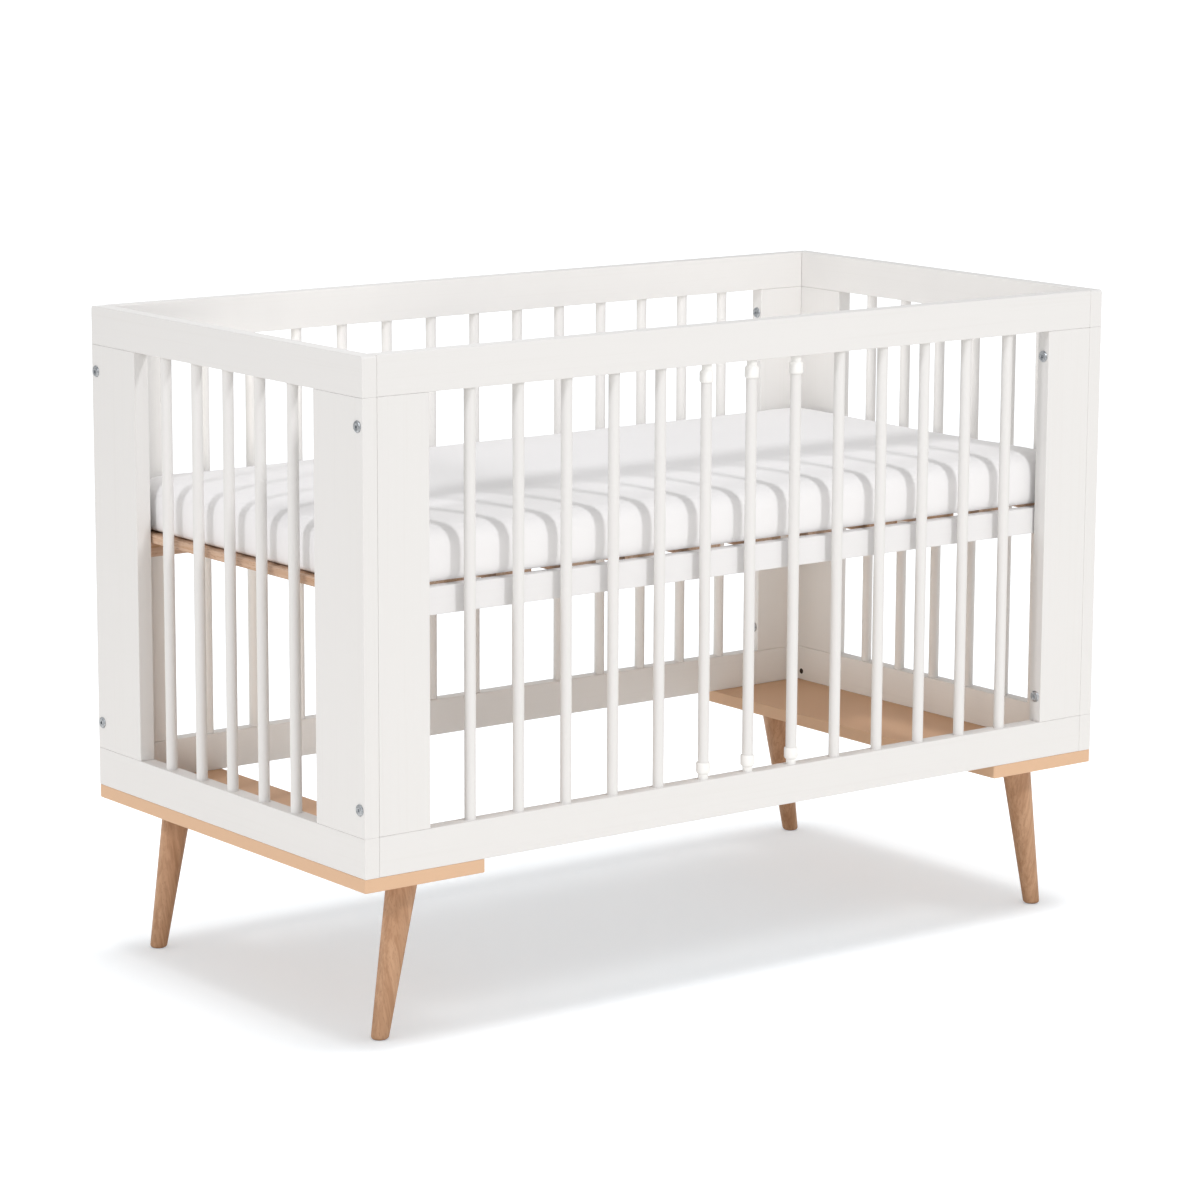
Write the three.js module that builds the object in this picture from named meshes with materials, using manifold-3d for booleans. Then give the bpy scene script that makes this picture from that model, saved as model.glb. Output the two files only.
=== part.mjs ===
// Baby crib: a slatted white frame on two beech boards with four splayed turned legs,
// a lift-out slatted base, a mattress and three sprung rungs in the front side.
// Millimetres. X runs along the length, Y from front (-) to rear (+), Z up, floor at Z 0.
import * as THREE from "three";
import { RoundedBoxGeometry } from "three/addons/geometries/RoundedBoxGeometry.js";
import { mergeVertices } from "three/addons/utils/BufferGeometryUtils.js";
import Module from "manifold-3d";

// ---- driving dimensions ----
const LENGTH = 1250; // over the end panels
const WIDTH = 650; // over the side panels
const LEG_HEIGHT = 211; // floor to the underside of the leg board
const BOARD_THICKNESS = 18;
const BOARD_DEPTH = 185; // leg board, along X
const BOARD_CORNER = 3;
const PANEL_HEIGHT = 660;
const PANEL_THICKNESS = 22;
const PANEL_CORNER = 4; // outer top corners of the end panels
const RAIL_HEIGHT = 52; // top and bottom rails of all four panels
const END_STILE = 110;
const SIDE_STILE = 78;
const BAR_DIAMETER = 15;
const BAR_PITCH = 76;
const BAR_HOUSING = 12; // how far a bar enters the top rail
const BAR_CLEAR = 30; // least room from the middle of a bar to a stile

const LEG_TOP_DIAMETER = 41;
const LEG_FOOT_DIAMETER = 23;
const LEG_FOOT_ROUND = 3.4; // how far the rounded rim draws in at the foot
const LEG_LEAN = 10; // degrees, outward along X
const LEG_INSET_X = 94; // leg axis at the board's underside, from the end face
const LEG_INSET_Y = 54; // leg axis, from the front or rear face

const CAP_WALL = 2; // a rung cap's collar round its bar
const CAP_NECK_DIAMETER = 13.5;
const CAP_COLLAR_HEIGHT = 16;
const CAP_FLOOR = 4; // solid end of a collar, below the bar
const CAP_SHOULDER = 2.6; // height over which the collar rounds in to the neck
const CAP_NECK_TOP = 8.5; // neck seen between the upper collar and the top rail
const CAP_NECK_BOTTOM = 7; // neck seen between the bottom rail and the lower collar
const RUNG_SEAT_TOP = 8; // upper neck inside the top rail
const RUNG_SEAT_BOTTOM = 5; // lower neck inside the bottom rail, less than the rung lifts
const SPRING_LENGTH = 22;
const SPRING_DIAMETER = 9;
const SPRING_WIRE = 1.2;
const SPRING_TURNS = 5;

const BASE_RISE = 320; // underside of the base rails above the frame's underside
const BASE_RAIL_HEIGHT = 36;
const BASE_RAIL_THICKNESS = 18;
const BASE_SIDE_PLAY = 3; // base rails to the side panels
const BASE_END_PLAY = 2; // base rails to the end panels
const SLAT_THICKNESS = 12;
const SLAT_WIDTH = 56;
const SLAT_PITCH = 104;
const SLAT_PROUD = 4; // slats above the base rails
const SLAT_PLAY = 0.5; // slat ends to the base rails
const CLEAT_LAP = 0.5; // cleats' tops let into the slats
const GRID_PLAY = 1; // slats and cleats back from the base rails' ends
const CLEAT_THICKNESS = 20;
const PIN_DIAMETER = 8;
const PIN_RISE = 11; // support pin axis above the rail's underside
const PIN_SEAT = 11.5; // pin inside the end panel
const PIN_REACH = 17.5; // pin inside the crib
const PIN_MIDDLE_SHARE = 0.6; // of the way from the lowest pins to the highest
const NOTCH_PLAY = 2; // notch past the end of its pin
const BASE_LOWEST = 2; // base rails above the leg boards at the lowest setting

const MATTRESS_THICKNESS = 68;
const MATTRESS_EDGE = 24; // edge radius
const MATTRESS_PLAY = 5; // to the panels, all round

const BOLT_INSET_Z = 88; // bolt axis from the frame's top and bottom
const BOLT_DIAMETER = 6;
const BOLT_HEAD_DIAMETER = 15.5;
const BOLT_SHORT = 10; // bolt's end, from the inner edge of the side panel's stile
const NUT_SLEEVE_DIAMETER = 9;
const NUT_HEAD_DIAMETER = 16;
const NUT_LENGTH = 30;
const NUT_FLOOR = 3; // solid metal behind a sleeve nut's thread
const HEAD_THICKNESS = 2;
const HEAD_CHAMFER = 1.6;
const HEX_KEY = 4.6; // across corners
const HEX_DEPTH = 1.6;

const TIP_CHAMFER = 0.8; // at the ends of bolts, nuts, pins and necks
const HOLE_SPARE = 0.5; // hole past the end of the pin or nut in it
const HOLE_PLAY = 0.2; // radial play of every round piece in its hole
const JOINT = 0.1; // hairline left between glued, bolted or resting faces
const OVERRUN = 1; // how far a cutter runs past the face that it cuts

// ---- levels and faces that follow ----
const FRAME_Z = LEG_HEIGHT + BOARD_THICKNESS + JOINT; // underside of the panels
const OPEN_BOTTOM = RAIL_HEIGHT; // the bars' opening, above FRAME_Z
const OPEN_TOP = PANEL_HEIGHT - RAIL_HEIGHT;
const INNER_X = LENGTH / 2 - PANEL_THICKNESS;
const INNER_Y = WIDTH / 2 - PANEL_THICKNESS;
const END_OPEN = WIDTH / 2 - END_STILE; // half an end panel's opening
const SIDE_HALF = INNER_X - JOINT; // half a side panel
const SIDE_OPEN = INNER_X - SIDE_STILE; // half a side panel's opening
const SIDE_Y = WIDTH / 2 - PANEL_THICKNESS / 2; // middle of a side panel's thickness
const END_X = LENGTH / 2 - PANEL_THICKNESS / 2;
const BASE_HALF = INNER_X - BASE_END_PLAY;
const BASE_OUTER_Y = INNER_Y - BASE_SIDE_PLAY;
const BASE_INNER_Y = BASE_OUTER_Y - BASE_RAIL_THICKNESS;
const PIN_Y = BASE_OUTER_Y - BASE_RAIL_THICKNESS / 2;
const SLAT_TOP = BASE_RAIL_HEIGHT + SLAT_PROUD; // above the base rails' underside
const PIN_TOP = BASE_RISE + PIN_RISE; // above FRAME_Z
const PIN_LOWEST = BASE_LOWEST + PIN_RISE;
const PIN_MIDDLE = PIN_LOWEST + PIN_MIDDLE_SHARE * (PIN_TOP - PIN_LOWEST);
const PIN_LEVELS = [PIN_TOP, PIN_MIDDLE, PIN_LOWEST];
const BOLT_LEVELS = { upper: PANEL_HEIGHT - BOLT_INSET_Z, lower: BOLT_INSET_Z };
const BOLT_LENGTH = PANEL_THICKNESS + SIDE_STILE - BOLT_SHORT;
const BAR_R = BAR_DIAMETER / 2;
const NECK_R = CAP_NECK_DIAMETER / 2;
const RUNGS = { left: -BAR_PITCH, middle: 0, right: BAR_PITCH };

// ---- finishes ----
const finish = (color, roughness, metalness) => () =>
  new THREE.MeshStandardMaterial({ color, roughness, metalness });
const whiteLacquer = finish(0xf3f1ed, 0.42, 0);
const beech = finish(0xd9ab84, 0.5, 0);
const whitePlastic = finish(0xf4f3f1, 0.35, 0);
const zinc = finish(0xb4b8ba, 0.32, 1);
const springSteel = finish(0x8d9195, 0.35, 1);
const mattressCover = finish(0xf2f0f0, 0.9, 0);

// ---- joining and cutting ----
const wasm = await Module();
wasm.setup();

/** The closed solid of a three.js geometry, moved to (x, y, z). */
function solid(geometry, x = 0, y = 0, z = 0) {
  const source = geometry.index ? geometry.toNonIndexed() : geometry;
  const bare = new THREE.BufferGeometry();
  bare.setAttribute("position", source.getAttribute("position"));
  const merged = mergeVertices(bare.translate(x, y, z), 1e-3);
  return new wasm.Manifold(
    new wasm.Mesh({
      numProp: 3,
      vertProperties: merged.attributes.position.array,
      triVerts: new Uint32Array(merged.index.array),
    }),
  );
}

/** The three.js geometry of a joined or cut solid. */
function geometryOf(body) {
  const { numVert, numProp, vertProperties, triVerts } = body.getMesh();
  const points = new Float32Array(numVert * 3);
  for (let i = 0; i < numVert; i++) {
    points.set(vertProperties.subarray(i * numProp, i * numProp + 3), i * 3);
  }
  return new THREE.BufferGeometry()
    .setAttribute("position", new THREE.BufferAttribute(points, 3))
    .setIndex(new THREE.BufferAttribute(triVerts, 1));
}

const joined = (...bodies) => wasm.Manifold.union(bodies);
const cutBy = (body, tools) => body.subtract(joined(...tools));

// ---- shapes, each in its own piece's frame ----

/** A box from one corner to the opposite one, in either order. */
function box([x0, y0, z0], [x1, y1, z1]) {
  const size = [x1 - x0, y1 - y0, z1 - z0].map(Math.abs);
  return solid(new THREE.BoxGeometry(...size), (x0 + x1) / 2, (y0 + y1) / 2, (z0 + z1) / 2);
}

/** A round rod along Z. */
function upright(x, y, z0, z1, radius, sides = 12) {
  const rod = new THREE.CylinderGeometry(radius, radius, z1 - z0, sides);
  return solid(rod.rotateX(Math.PI / 2), x, y, (z0 + z1) / 2);
}

/** A round rod along X. */
function crosswise(x0, x1, y, z, radius, sides = 12) {
  const rod = new THREE.CylinderGeometry(radius, radius, Math.abs(x1 - x0), sides);
  return solid(rod.rotateZ(Math.PI / 2), (x0 + x1) / 2, y, z);
}

/** A turned piece along Z, from [radius, height] pairs listed upwards. */
function turned(profile, sides = 12) {
  const points = profile.map(([radius, height]) => new THREE.Vector2(radius, height));
  return new THREE.LatheGeometry(points, sides).rotateX(Math.PI / 2);
}

/** A board in the XY plane with its chosen corners cut off, its thickness centred on Z. */
function plank(width, height, thickness, corner, topOnly = false) {
  const [w, h] = [width / 2, height / 2];
  const low = topOnly ? 0 : corner;
  const outline = [
    [-w + low, -h],
    [w - low, -h],
    [w, -h + low],
    [w, h - corner],
    [w - corner, h],
    [-w + corner, h],
    [-w, h - corner],
    [-w, -h + low],
  ];
  const points = outline
    .filter(([x, y], i) => i === 0 || x !== outline[i - 1][0] || y !== outline[i - 1][1])
    .map(([x, y]) => new THREE.Vector2(x, y));
  if (points[0].equals(points.at(-1))) points.pop();
  const options = { depth: thickness, bevelEnabled: false };
  return new THREE.ExtrudeGeometry(new THREE.Shape(points), options).translate(0, 0, -thickness / 2);
}

/** Bar centres, spread both ways from the middle of an opening. */
function barCentres(halfOpening) {
  const each = Math.floor((halfOpening - BAR_CLEAR) / BAR_PITCH);
  return Array.from({ length: 2 * each + 1 }, (_, i) => (i - each) * BAR_PITCH);
}

// ---- the scene graph ----
const crib = new THREE.Group();
crib.name = "baby_crib";

/** A sub-assembly's group, which a turn of pi faces the other way. */
function subAssembly(name, [x, y, z], turn = 0) {
  const group = new THREE.Group();
  group.name = name;
  group.position.set(x, y, z);
  group.rotation.z = turn;
  crib.add(group);
  return group;
}

/** Adds one piece to its sub-assembly. */
function addPiece(group, name, body, material, [x, y, z] = [0, 0, 0]) {
  const mesh = new THREE.Mesh(geometryOf(body), material());
  mesh.name = name;
  mesh.position.set(x, y, z);
  group.add(mesh);
  return mesh;
}

// Ends and faces, each with its sign and the half turn that faces a group outwards there.
const ENDS = [
  { end: "right", sx: 1, turn: 0 },
  { end: "left", sx: -1, turn: Math.PI },
];
const FACES = [
  { face: "front", sy: -1 },
  { face: "rear", sy: 1 },
];

/** The name of the front or rear face as seen from a group that may be turned round. */
const faceAt = (sy, turn) => ((turn ? -sy : sy) > 0 ? "rear" : "front");

// ---- leg boards and legs ----

/** A tapered leg, leant outwards along X and sawn level at the floor and at the board. */
function legBody() {
  const lean = THREE.MathUtils.degToRad(LEG_LEAN);
  const [top, foot] = [LEG_TOP_DIAMETER / 2, LEG_FOOT_DIAMETER / 2];
  const long = LEG_HEIGHT / Math.cos(lean);
  const taper = (top - foot) / long;
  const spare = LEG_TOP_DIAMETER / 3;
  const rim = foot - LEG_FOOT_ROUND;
  const profile = [
    [0, -spare],
    [rim, -spare],
    [rim, -LEG_FOOT_ROUND * 0.6],
    [rim + LEG_FOOT_ROUND * 0.35, 0],
    [rim + LEG_FOOT_ROUND * 0.8, LEG_FOOT_ROUND * 0.6],
    [foot + taper * LEG_FOOT_ROUND * 2, LEG_FOOT_ROUND * 2],
    [top + taper * spare, long + spare],
    [0, long + spare],
  ];
  const reach = LEG_HEIGHT + LEG_TOP_DIAMETER;
  const slab = box([-reach, -reach, 0], [reach, reach, LEG_HEIGHT - JOINT]);
  return solid(turned(profile, 20).rotateY(-lean)).intersect(slab);
}

const footX = LENGTH / 2 - LEG_INSET_X + LEG_HEIGHT * Math.tan(THREE.MathUtils.degToRad(LEG_LEAN));
for (const { end, turn } of ENDS) {
  const group = subAssembly(`leg_unit_${end}`, [0, 0, 0], turn);
  const plankBody = solid(plank(BOARD_DEPTH, WIDTH, BOARD_THICKNESS, BOARD_CORNER));
  const boardAt = [LENGTH / 2 - BOARD_DEPTH / 2, 0, LEG_HEIGHT + BOARD_THICKNESS / 2];
  addPiece(group, `leg_board_${end}`, plankBody, beech, boardAt);
  for (const { sy } of FACES) {
    const footAt = [footX, sy * (WIDTH / 2 - LEG_INSET_Y), 0];
    addPiece(group, `leg_${faceAt(sy, turn)}_${end}`, legBody(), beech, footAt);
  }
}

// ---- end panels: local X outwards, local Z from the frame's underside ----
const endBars = barCentres(END_OPEN);
const halfThick = PANEL_THICKNESS / 2;

/** A blind hole for a support pin, in an end panel's inner face. */
function pinHole(sy, z) {
  const [mouth, end] = [-halfThick - OVERRUN, -halfThick + PIN_SEAT + HOLE_SPARE];
  return crosswise(mouth, end, sy * PIN_Y, z, PIN_DIAMETER / 2 + HOLE_PLAY);
}

/** A rail right across an end panel. */
function endRail(z0, z1, corner) {
  const rail = plank(WIDTH, z1 - z0, PANEL_THICKNESS, corner, true);
  return solid(rail.rotateX(Math.PI / 2).rotateZ(Math.PI / 2), 0, 0, (z0 + z1) / 2);
}

function endStile(sy) {
  const body = box(
    [-halfThick, sy * END_OPEN, OPEN_BOTTOM + JOINT],
    [halfThick, (sy * WIDTH) / 2, OPEN_TOP - JOINT],
  );
  const past = halfThick + OVERRUN;
  const boltHoles = Object.values(BOLT_LEVELS).map((z) =>
    crosswise(-past, past, sy * SIDE_Y, z, BOLT_DIAMETER / 2 + HOLE_PLAY),
  );
  return cutBy(body, [...boltHoles, pinHole(sy, PIN_LEVELS[0]), pinHole(sy, PIN_LEVELS[1])]);
}

for (const { end, sx, turn } of ENDS) {
  const group = subAssembly(`end_panel_${end}`, [sx * END_X, 0, FRAME_Z], turn);
  const housings = endBars.map((y) =>
    upright(0, y, OPEN_TOP - OVERRUN, OPEN_TOP + BAR_HOUSING + OVERRUN, BAR_R + HOLE_PLAY),
  );
  const bars = endBars.map((y) => upright(0, y, OPEN_BOTTOM / 2, OPEN_TOP + BAR_HOUSING, BAR_R));
  const topRail = cutBy(endRail(OPEN_TOP, PANEL_HEIGHT, PANEL_CORNER), housings);
  const comb = cutBy(
    joined(endRail(0, OPEN_BOTTOM, 0), ...bars),
    FACES.map(({ sy }) => pinHole(sy, PIN_LEVELS[2])),
  );
  addPiece(group, `end_top_rail_${end}`, topRail, whiteLacquer);
  addPiece(group, `end_bottom_rail_with_bars_${end}`, comb, whiteLacquer);
  for (const { sy } of FACES) {
    addPiece(group, `end_stile_${faceAt(sy, turn)}_${end}`, endStile(sy), whiteLacquer);
  }
}

// ---- side panels: local Z from the frame's underside ----
const sideBars = barCentres(SIDE_OPEN);
const springRoof = OPEN_TOP + RUNG_SEAT_TOP + SPRING_LENGTH;

function sideStile(sx) {
  const body = box(
    [sx * SIDE_OPEN, -halfThick, OPEN_BOTTOM + JOINT],
    [sx * SIDE_HALF, halfThick, OPEN_TOP - JOINT],
  );
  const [inside, outside] = [SIDE_OPEN - OVERRUN, SIDE_HALF + OVERRUN];
  const sleeveEnd = SIDE_OPEN + NUT_LENGTH + HOLE_SPARE;
  const bores = Object.values(BOLT_LEVELS).flatMap((z) => [
    crosswise(sx * inside, sx * outside, 0, z, BOLT_DIAMETER / 2 + HOLE_PLAY),
    crosswise(sx * inside, sx * sleeveEnd, 0, z, NUT_SLEEVE_DIAMETER / 2 + HOLE_PLAY),
  ]);
  return cutBy(body, bores);
}

for (const { face, sy } of FACES) {
  const group = subAssembly(`side_panel_${face}`, [0, sy * SIDE_Y, FRAME_Z]);
  const rungs = face === "front" ? Object.values(RUNGS) : [];
  const fixed = sideBars.filter((x) => !rungs.includes(x));
  const rail = (z0, z1) => box([-SIDE_HALF, -halfThick, z0], [SIDE_HALF, halfThick, z1]);
  const housings = fixed.map((x) =>
    upright(x, 0, OPEN_TOP - OVERRUN, OPEN_TOP + BAR_HOUSING + OVERRUN, BAR_R + HOLE_PLAY),
  );
  const springWells = rungs.map((x) => upright(x, 0, OPEN_TOP - OVERRUN, springRoof, NECK_R + HOLE_PLAY));
  const topRail = cutBy(rail(OPEN_TOP, PANEL_HEIGHT), [...housings, ...springWells]);
  addPiece(group, `side_top_rail_${face}`, topRail, whiteLacquer);

  const bars = fixed.map((x) => upright(x, 0, OPEN_BOTTOM / 2, OPEN_TOP + BAR_HOUSING, BAR_R));
  const comb = joined(rail(0, OPEN_BOTTOM), ...bars);
  const seatFloor = OPEN_BOTTOM - RUNG_SEAT_BOTTOM - OVERRUN;
  const seats = rungs.map((x) => upright(x, 0, seatFloor, OPEN_BOTTOM + OVERRUN, NECK_R + HOLE_PLAY));
  const bottomRail = seats.length ? cutBy(comb, seats) : comb;
  addPiece(group, `side_bottom_rail_with_bars_${face}`, bottomRail, whiteLacquer);
  for (const { end, sx } of ENDS) {
    addPiece(group, `side_stile_${face}_${end}`, sideStile(sx), whiteLacquer);
  }
}

// ---- connector bolts and sleeve nuts: local X out of the head ----

/** A turned shank with a flat chamfered head and a hexagon key socket, along X. */
function headed(shankDiameter, shankLength, headDiameter, boreDepth = 0) {
  const [shank, head] = [shankDiameter / 2, headDiameter / 2];
  const profile = [
    [0, -shankLength],
    [shank - TIP_CHAMFER, -shankLength],
    [shank, -shankLength + TIP_CHAMFER],
    [shank, 0],
    [head, 0],
    [head, HEAD_THICKNESS / 2],
    [head - HEAD_CHAMFER, HEAD_THICKNESS],
    [0, HEAD_THICKNESS],
  ];
  const tools = [crosswise(HEAD_THICKNESS - HEX_DEPTH, HEAD_THICKNESS + OVERRUN, 0, 0, HEX_KEY / 2, 6)];
  if (boreDepth) {
    const bore = BOLT_DIAMETER / 2 + HOLE_PLAY;
    tools.push(crosswise(-shankLength - OVERRUN, boreDepth - shankLength, 0, 0, bore));
  }
  return cutBy(solid(turned(profile).rotateY(Math.PI / 2)), tools);
}

for (const { end, turn } of ENDS) {
  for (const { sy } of FACES) {
    for (const [level, z] of Object.entries(BOLT_LEVELS)) {
      const corner = `${faceAt(sy, turn)}_${end}_${level}`;
      const y = sy * SIDE_Y;
      const group = subAssembly(`fastener_${corner}`, [0, 0, FRAME_Z], turn);
      const bolt = headed(BOLT_DIAMETER, BOLT_LENGTH, BOLT_HEAD_DIAMETER);
      addPiece(group, `connector_bolt_${corner}`, bolt, zinc, [LENGTH / 2 + JOINT, y, z]);
      const nut = headed(NUT_SLEEVE_DIAMETER, NUT_LENGTH, NUT_HEAD_DIAMETER, NUT_LENGTH - NUT_FLOOR);
      const nutMesh = addPiece(group, `sleeve_nut_${corner}`, nut, zinc, [SIDE_OPEN - JOINT, y, z]);
      nutMesh.rotation.z = Math.PI;
    }
  }
}

// ---- sprung rungs of the front side: local Z from the frame's underside ----

/** A moulded end cap, its neck down and its collar up, with the neck's shoulder at Z 0. */
function rungCap(neckLength) {
  const collar = BAR_R + CAP_WALL;
  const profile = [
    [0, -neckLength],
    [NECK_R - TIP_CHAMFER, -neckLength],
    [NECK_R, -neckLength + TIP_CHAMFER],
    [NECK_R, 0],
    [collar - CAP_SHOULDER * 0.85, 0],
    [collar - CAP_SHOULDER * 0.25, CAP_SHOULDER * 0.3],
    [collar, CAP_SHOULDER],
    [collar, CAP_COLLAR_HEIGHT],
    [0, CAP_COLLAR_HEIGHT],
  ];
  return cutBy(solid(turned(profile)), [
    upright(0, 0, CAP_FLOOR, CAP_COLLAR_HEIGHT + OVERRUN, BAR_R + HOLE_PLAY),
  ]);
}

/** A coil spring standing on Z 0. */
function coilSpring() {
  const radius = (SPRING_DIAMETER - SPRING_WIRE) / 2;
  const rise = SPRING_LENGTH - SPRING_WIRE - 2 * JOINT;
  const steps = SPRING_TURNS * 9;
  const helix = Array.from({ length: steps + 1 }, (_, i) => {
    const angle = (i / steps) * SPRING_TURNS * 2 * Math.PI;
    const z = SPRING_WIRE / 2 + JOINT + (rise * i) / steps;
    return new THREE.Vector3(radius * Math.cos(angle), radius * Math.sin(angle), z);
  });
  const round = new THREE.EllipseCurve(0, 0, SPRING_WIRE / 2, SPRING_WIRE / 2);
  const wire = new THREE.Shape(round.getPoints(5).slice(1));
  const options = { steps, extrudePath: new THREE.CatmullRomCurve3(helix), bevelEnabled: false };
  return solid(new THREE.ExtrudeGeometry(wire, options));
}

for (const [rung, x] of Object.entries(RUNGS)) {
  const group = subAssembly(`rung_${rung}`, [x, -SIDE_Y, FRAME_Z]);
  const lowerShoulder = OPEN_BOTTOM + CAP_NECK_BOTTOM;
  const upperShoulder = OPEN_TOP - CAP_NECK_TOP;
  const lowerCap = rungCap(CAP_NECK_BOTTOM + RUNG_SEAT_BOTTOM);
  addPiece(group, `rung_cap_lower_${rung}`, lowerCap, whitePlastic, [0, 0, lowerShoulder]);
  const upperCap = rungCap(CAP_NECK_TOP + RUNG_SEAT_TOP);
  const upperMesh = addPiece(group, `rung_cap_upper_${rung}`, upperCap, whitePlastic, [0, 0, upperShoulder]);
  upperMesh.rotation.x = Math.PI;
  const [barFoot, barHead] = [lowerShoulder + CAP_FLOOR + JOINT, upperShoulder - CAP_FLOOR - JOINT];
  addPiece(group, `rung_bar_${rung}`, upright(0, 0, barFoot, barHead, BAR_R), whiteLacquer);
  addPiece(group, `rung_spring_${rung}`, coilSpring(), springSteel, [0, 0, OPEN_TOP + RUNG_SEAT_TOP]);
}

// ---- lift-out base: local Z from the base rails' underside ----
const base = subAssembly("base", [0, 0, FRAME_Z + BASE_RISE]);

/** A base rail with a notch at each end, open below, that drops over a support pin. */
function baseRail(sy) {
  const body = box([-BASE_HALF, sy * BASE_INNER_Y, 0], [BASE_HALF, sy * BASE_OUTER_Y, BASE_RAIL_HEIGHT]);
  const slot = PIN_DIAMETER / 2 + HOLE_PLAY;
  const mouth = BASE_HALF + OVERRUN;
  const back = INNER_X - PIN_REACH - NOTCH_PLAY;
  const y = sy * PIN_Y;
  const notches = ENDS.flatMap(({ sx }) => [
    crosswise(sx * mouth, sx * back, y, PIN_RISE, slot),
    box([sx * mouth, y - slot, -OVERRUN], [sx * back, y + slot, PIN_RISE]),
  ]);
  return cutBy(body, notches);
}

/** The slats on their two cleats. */
function slatGrid() {
  const half = BASE_HALF - GRID_PLAY;
  const count = Math.round((2 * half - SLAT_WIDTH) / SLAT_PITCH) + 1;
  const pitch = (2 * half - SLAT_WIDTH) / (count - 1);
  const slatUnder = SLAT_TOP - SLAT_THICKNESS;
  const slatEnd = BASE_INNER_Y - SLAT_PLAY;
  const cleatFace = BASE_INNER_Y - JOINT;
  const slats = Array.from({ length: count }, (_, i) => {
    const x = -half + i * pitch;
    return box([x, -slatEnd, slatUnder], [x + SLAT_WIDTH, slatEnd, SLAT_TOP]);
  });
  const cleats = FACES.map(({ sy }) =>
    box([-half, sy * (cleatFace - CLEAT_THICKNESS), 0], [half, sy * cleatFace, slatUnder + CLEAT_LAP]),
  );
  return joined(...slats, ...cleats);
}

for (const { face, sy } of FACES) {
  addPiece(base, `base_rail_${face}`, baseRail(sy), whiteLacquer);
}
addPiece(base, "slat_grid", slatGrid(), beech);

/** A support pin with both ends chamfered, local X from its end inside the crib. */
function supportPin() {
  const r = PIN_DIAMETER / 2;
  const long = PIN_SEAT + PIN_REACH;
  const profile = [
    [0, 0],
    [r - TIP_CHAMFER, 0],
    [r, TIP_CHAMFER],
    [r, long - TIP_CHAMFER],
    [r - TIP_CHAMFER, long],
    [0, long],
  ];
  return solid(turned(profile).rotateY(Math.PI / 2));
}

for (const { end, turn } of ENDS) {
  const group = subAssembly(`support_pins_${end}`, [0, 0, FRAME_Z], turn);
  for (const { sy } of FACES) {
    const at = [INNER_X - PIN_REACH, sy * PIN_Y, PIN_TOP];
    addPiece(group, `support_pin_${faceAt(sy, turn)}_${end}`, supportPin(), zinc, at);
  }
}

// ---- mattress ----
const mattressSize = [2 * (INNER_X - MATTRESS_PLAY), 2 * (INNER_Y - MATTRESS_PLAY), MATTRESS_THICKNESS];
addPiece(
  base,
  "mattress",
  solid(new RoundedBoxGeometry(...mattressSize, 3, MATTRESS_EDGE)),
  mattressCover,
  [0, 0, SLAT_TOP + JOINT + MATTRESS_THICKNESS / 2],
);

export default crib;
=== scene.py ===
"""Baby crib: the visible model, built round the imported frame.

A slatted white frame stands on two beech boards with four splayed turned legs. It holds
a lift-out slatted base, a mattress and three sprung rungs. Lengths are in metres, X runs
along the crib, Y from front to rear and Z up from the floor.
"""

import logging
import math
from collections.abc import Callable, Iterable, Mapping, Sequence
from dataclasses import dataclass
from enum import Enum
from typing import Any, Union

import bmesh
import bpy
import numpy as np
from mathutils import Matrix, Vector, noise


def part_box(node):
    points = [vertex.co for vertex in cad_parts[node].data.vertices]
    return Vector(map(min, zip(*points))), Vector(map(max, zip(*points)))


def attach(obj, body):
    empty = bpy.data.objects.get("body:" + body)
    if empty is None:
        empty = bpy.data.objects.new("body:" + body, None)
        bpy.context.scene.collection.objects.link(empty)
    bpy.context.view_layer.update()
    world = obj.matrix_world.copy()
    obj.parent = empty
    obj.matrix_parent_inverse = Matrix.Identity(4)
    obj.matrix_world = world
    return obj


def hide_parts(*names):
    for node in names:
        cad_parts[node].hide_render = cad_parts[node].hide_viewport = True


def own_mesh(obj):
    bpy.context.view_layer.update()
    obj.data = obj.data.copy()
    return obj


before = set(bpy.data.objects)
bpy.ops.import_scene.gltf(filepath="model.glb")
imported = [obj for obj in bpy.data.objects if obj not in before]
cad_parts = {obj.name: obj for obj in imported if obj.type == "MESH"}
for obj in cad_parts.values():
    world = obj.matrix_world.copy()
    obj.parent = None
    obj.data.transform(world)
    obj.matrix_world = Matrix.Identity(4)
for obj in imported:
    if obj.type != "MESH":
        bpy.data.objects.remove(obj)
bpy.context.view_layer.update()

log = logging.getLogger("crib")

Colour = tuple[float, float, float]
Number = Union[int, float, "Signal"]
HAIRLINE = 0.0001  # left between touching faces of the frame
OVERRUN = 0.001  # how far a drill starts outside the wood
SEAM_CORNER = 0.0004  # corner radius where two boards meet
LEAST_CORNER = 0.00008  # keeps an outline from crossing itself
DRILL_SIDES = 24
TURNED_CREASE = math.radians(32.0)  # steeper edges of a turned piece stay sharp
GROWN_CREASE = math.radians(50.0)  # the same for legs and coils


class Named(Enum):
    """A choice whose name is also part of the pieces' names."""

    @property
    def word(self) -> str:
        """Its name, as the pieces' names spell it."""
        return self.name.lower()


class Axis(Named):
    """A direction of the crib: along it, across it, or up."""

    X = 0
    Y = 1
    Z = 2


class Face(Named):
    """The long sides, each with the sign of its Y."""

    FRONT = -1
    REAR = 1


class End(Named):
    """The short ends, each with the sign of its X."""

    LEFT = -1
    RIGHT = 1


class RungPlace(Named):
    """The three sprung rungs of the front side, each with its place in the row."""

    LEFT = -1
    MIDDLE = 0
    RIGHT = 1


# ---------------------------------------------------------------- node graphs


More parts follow.
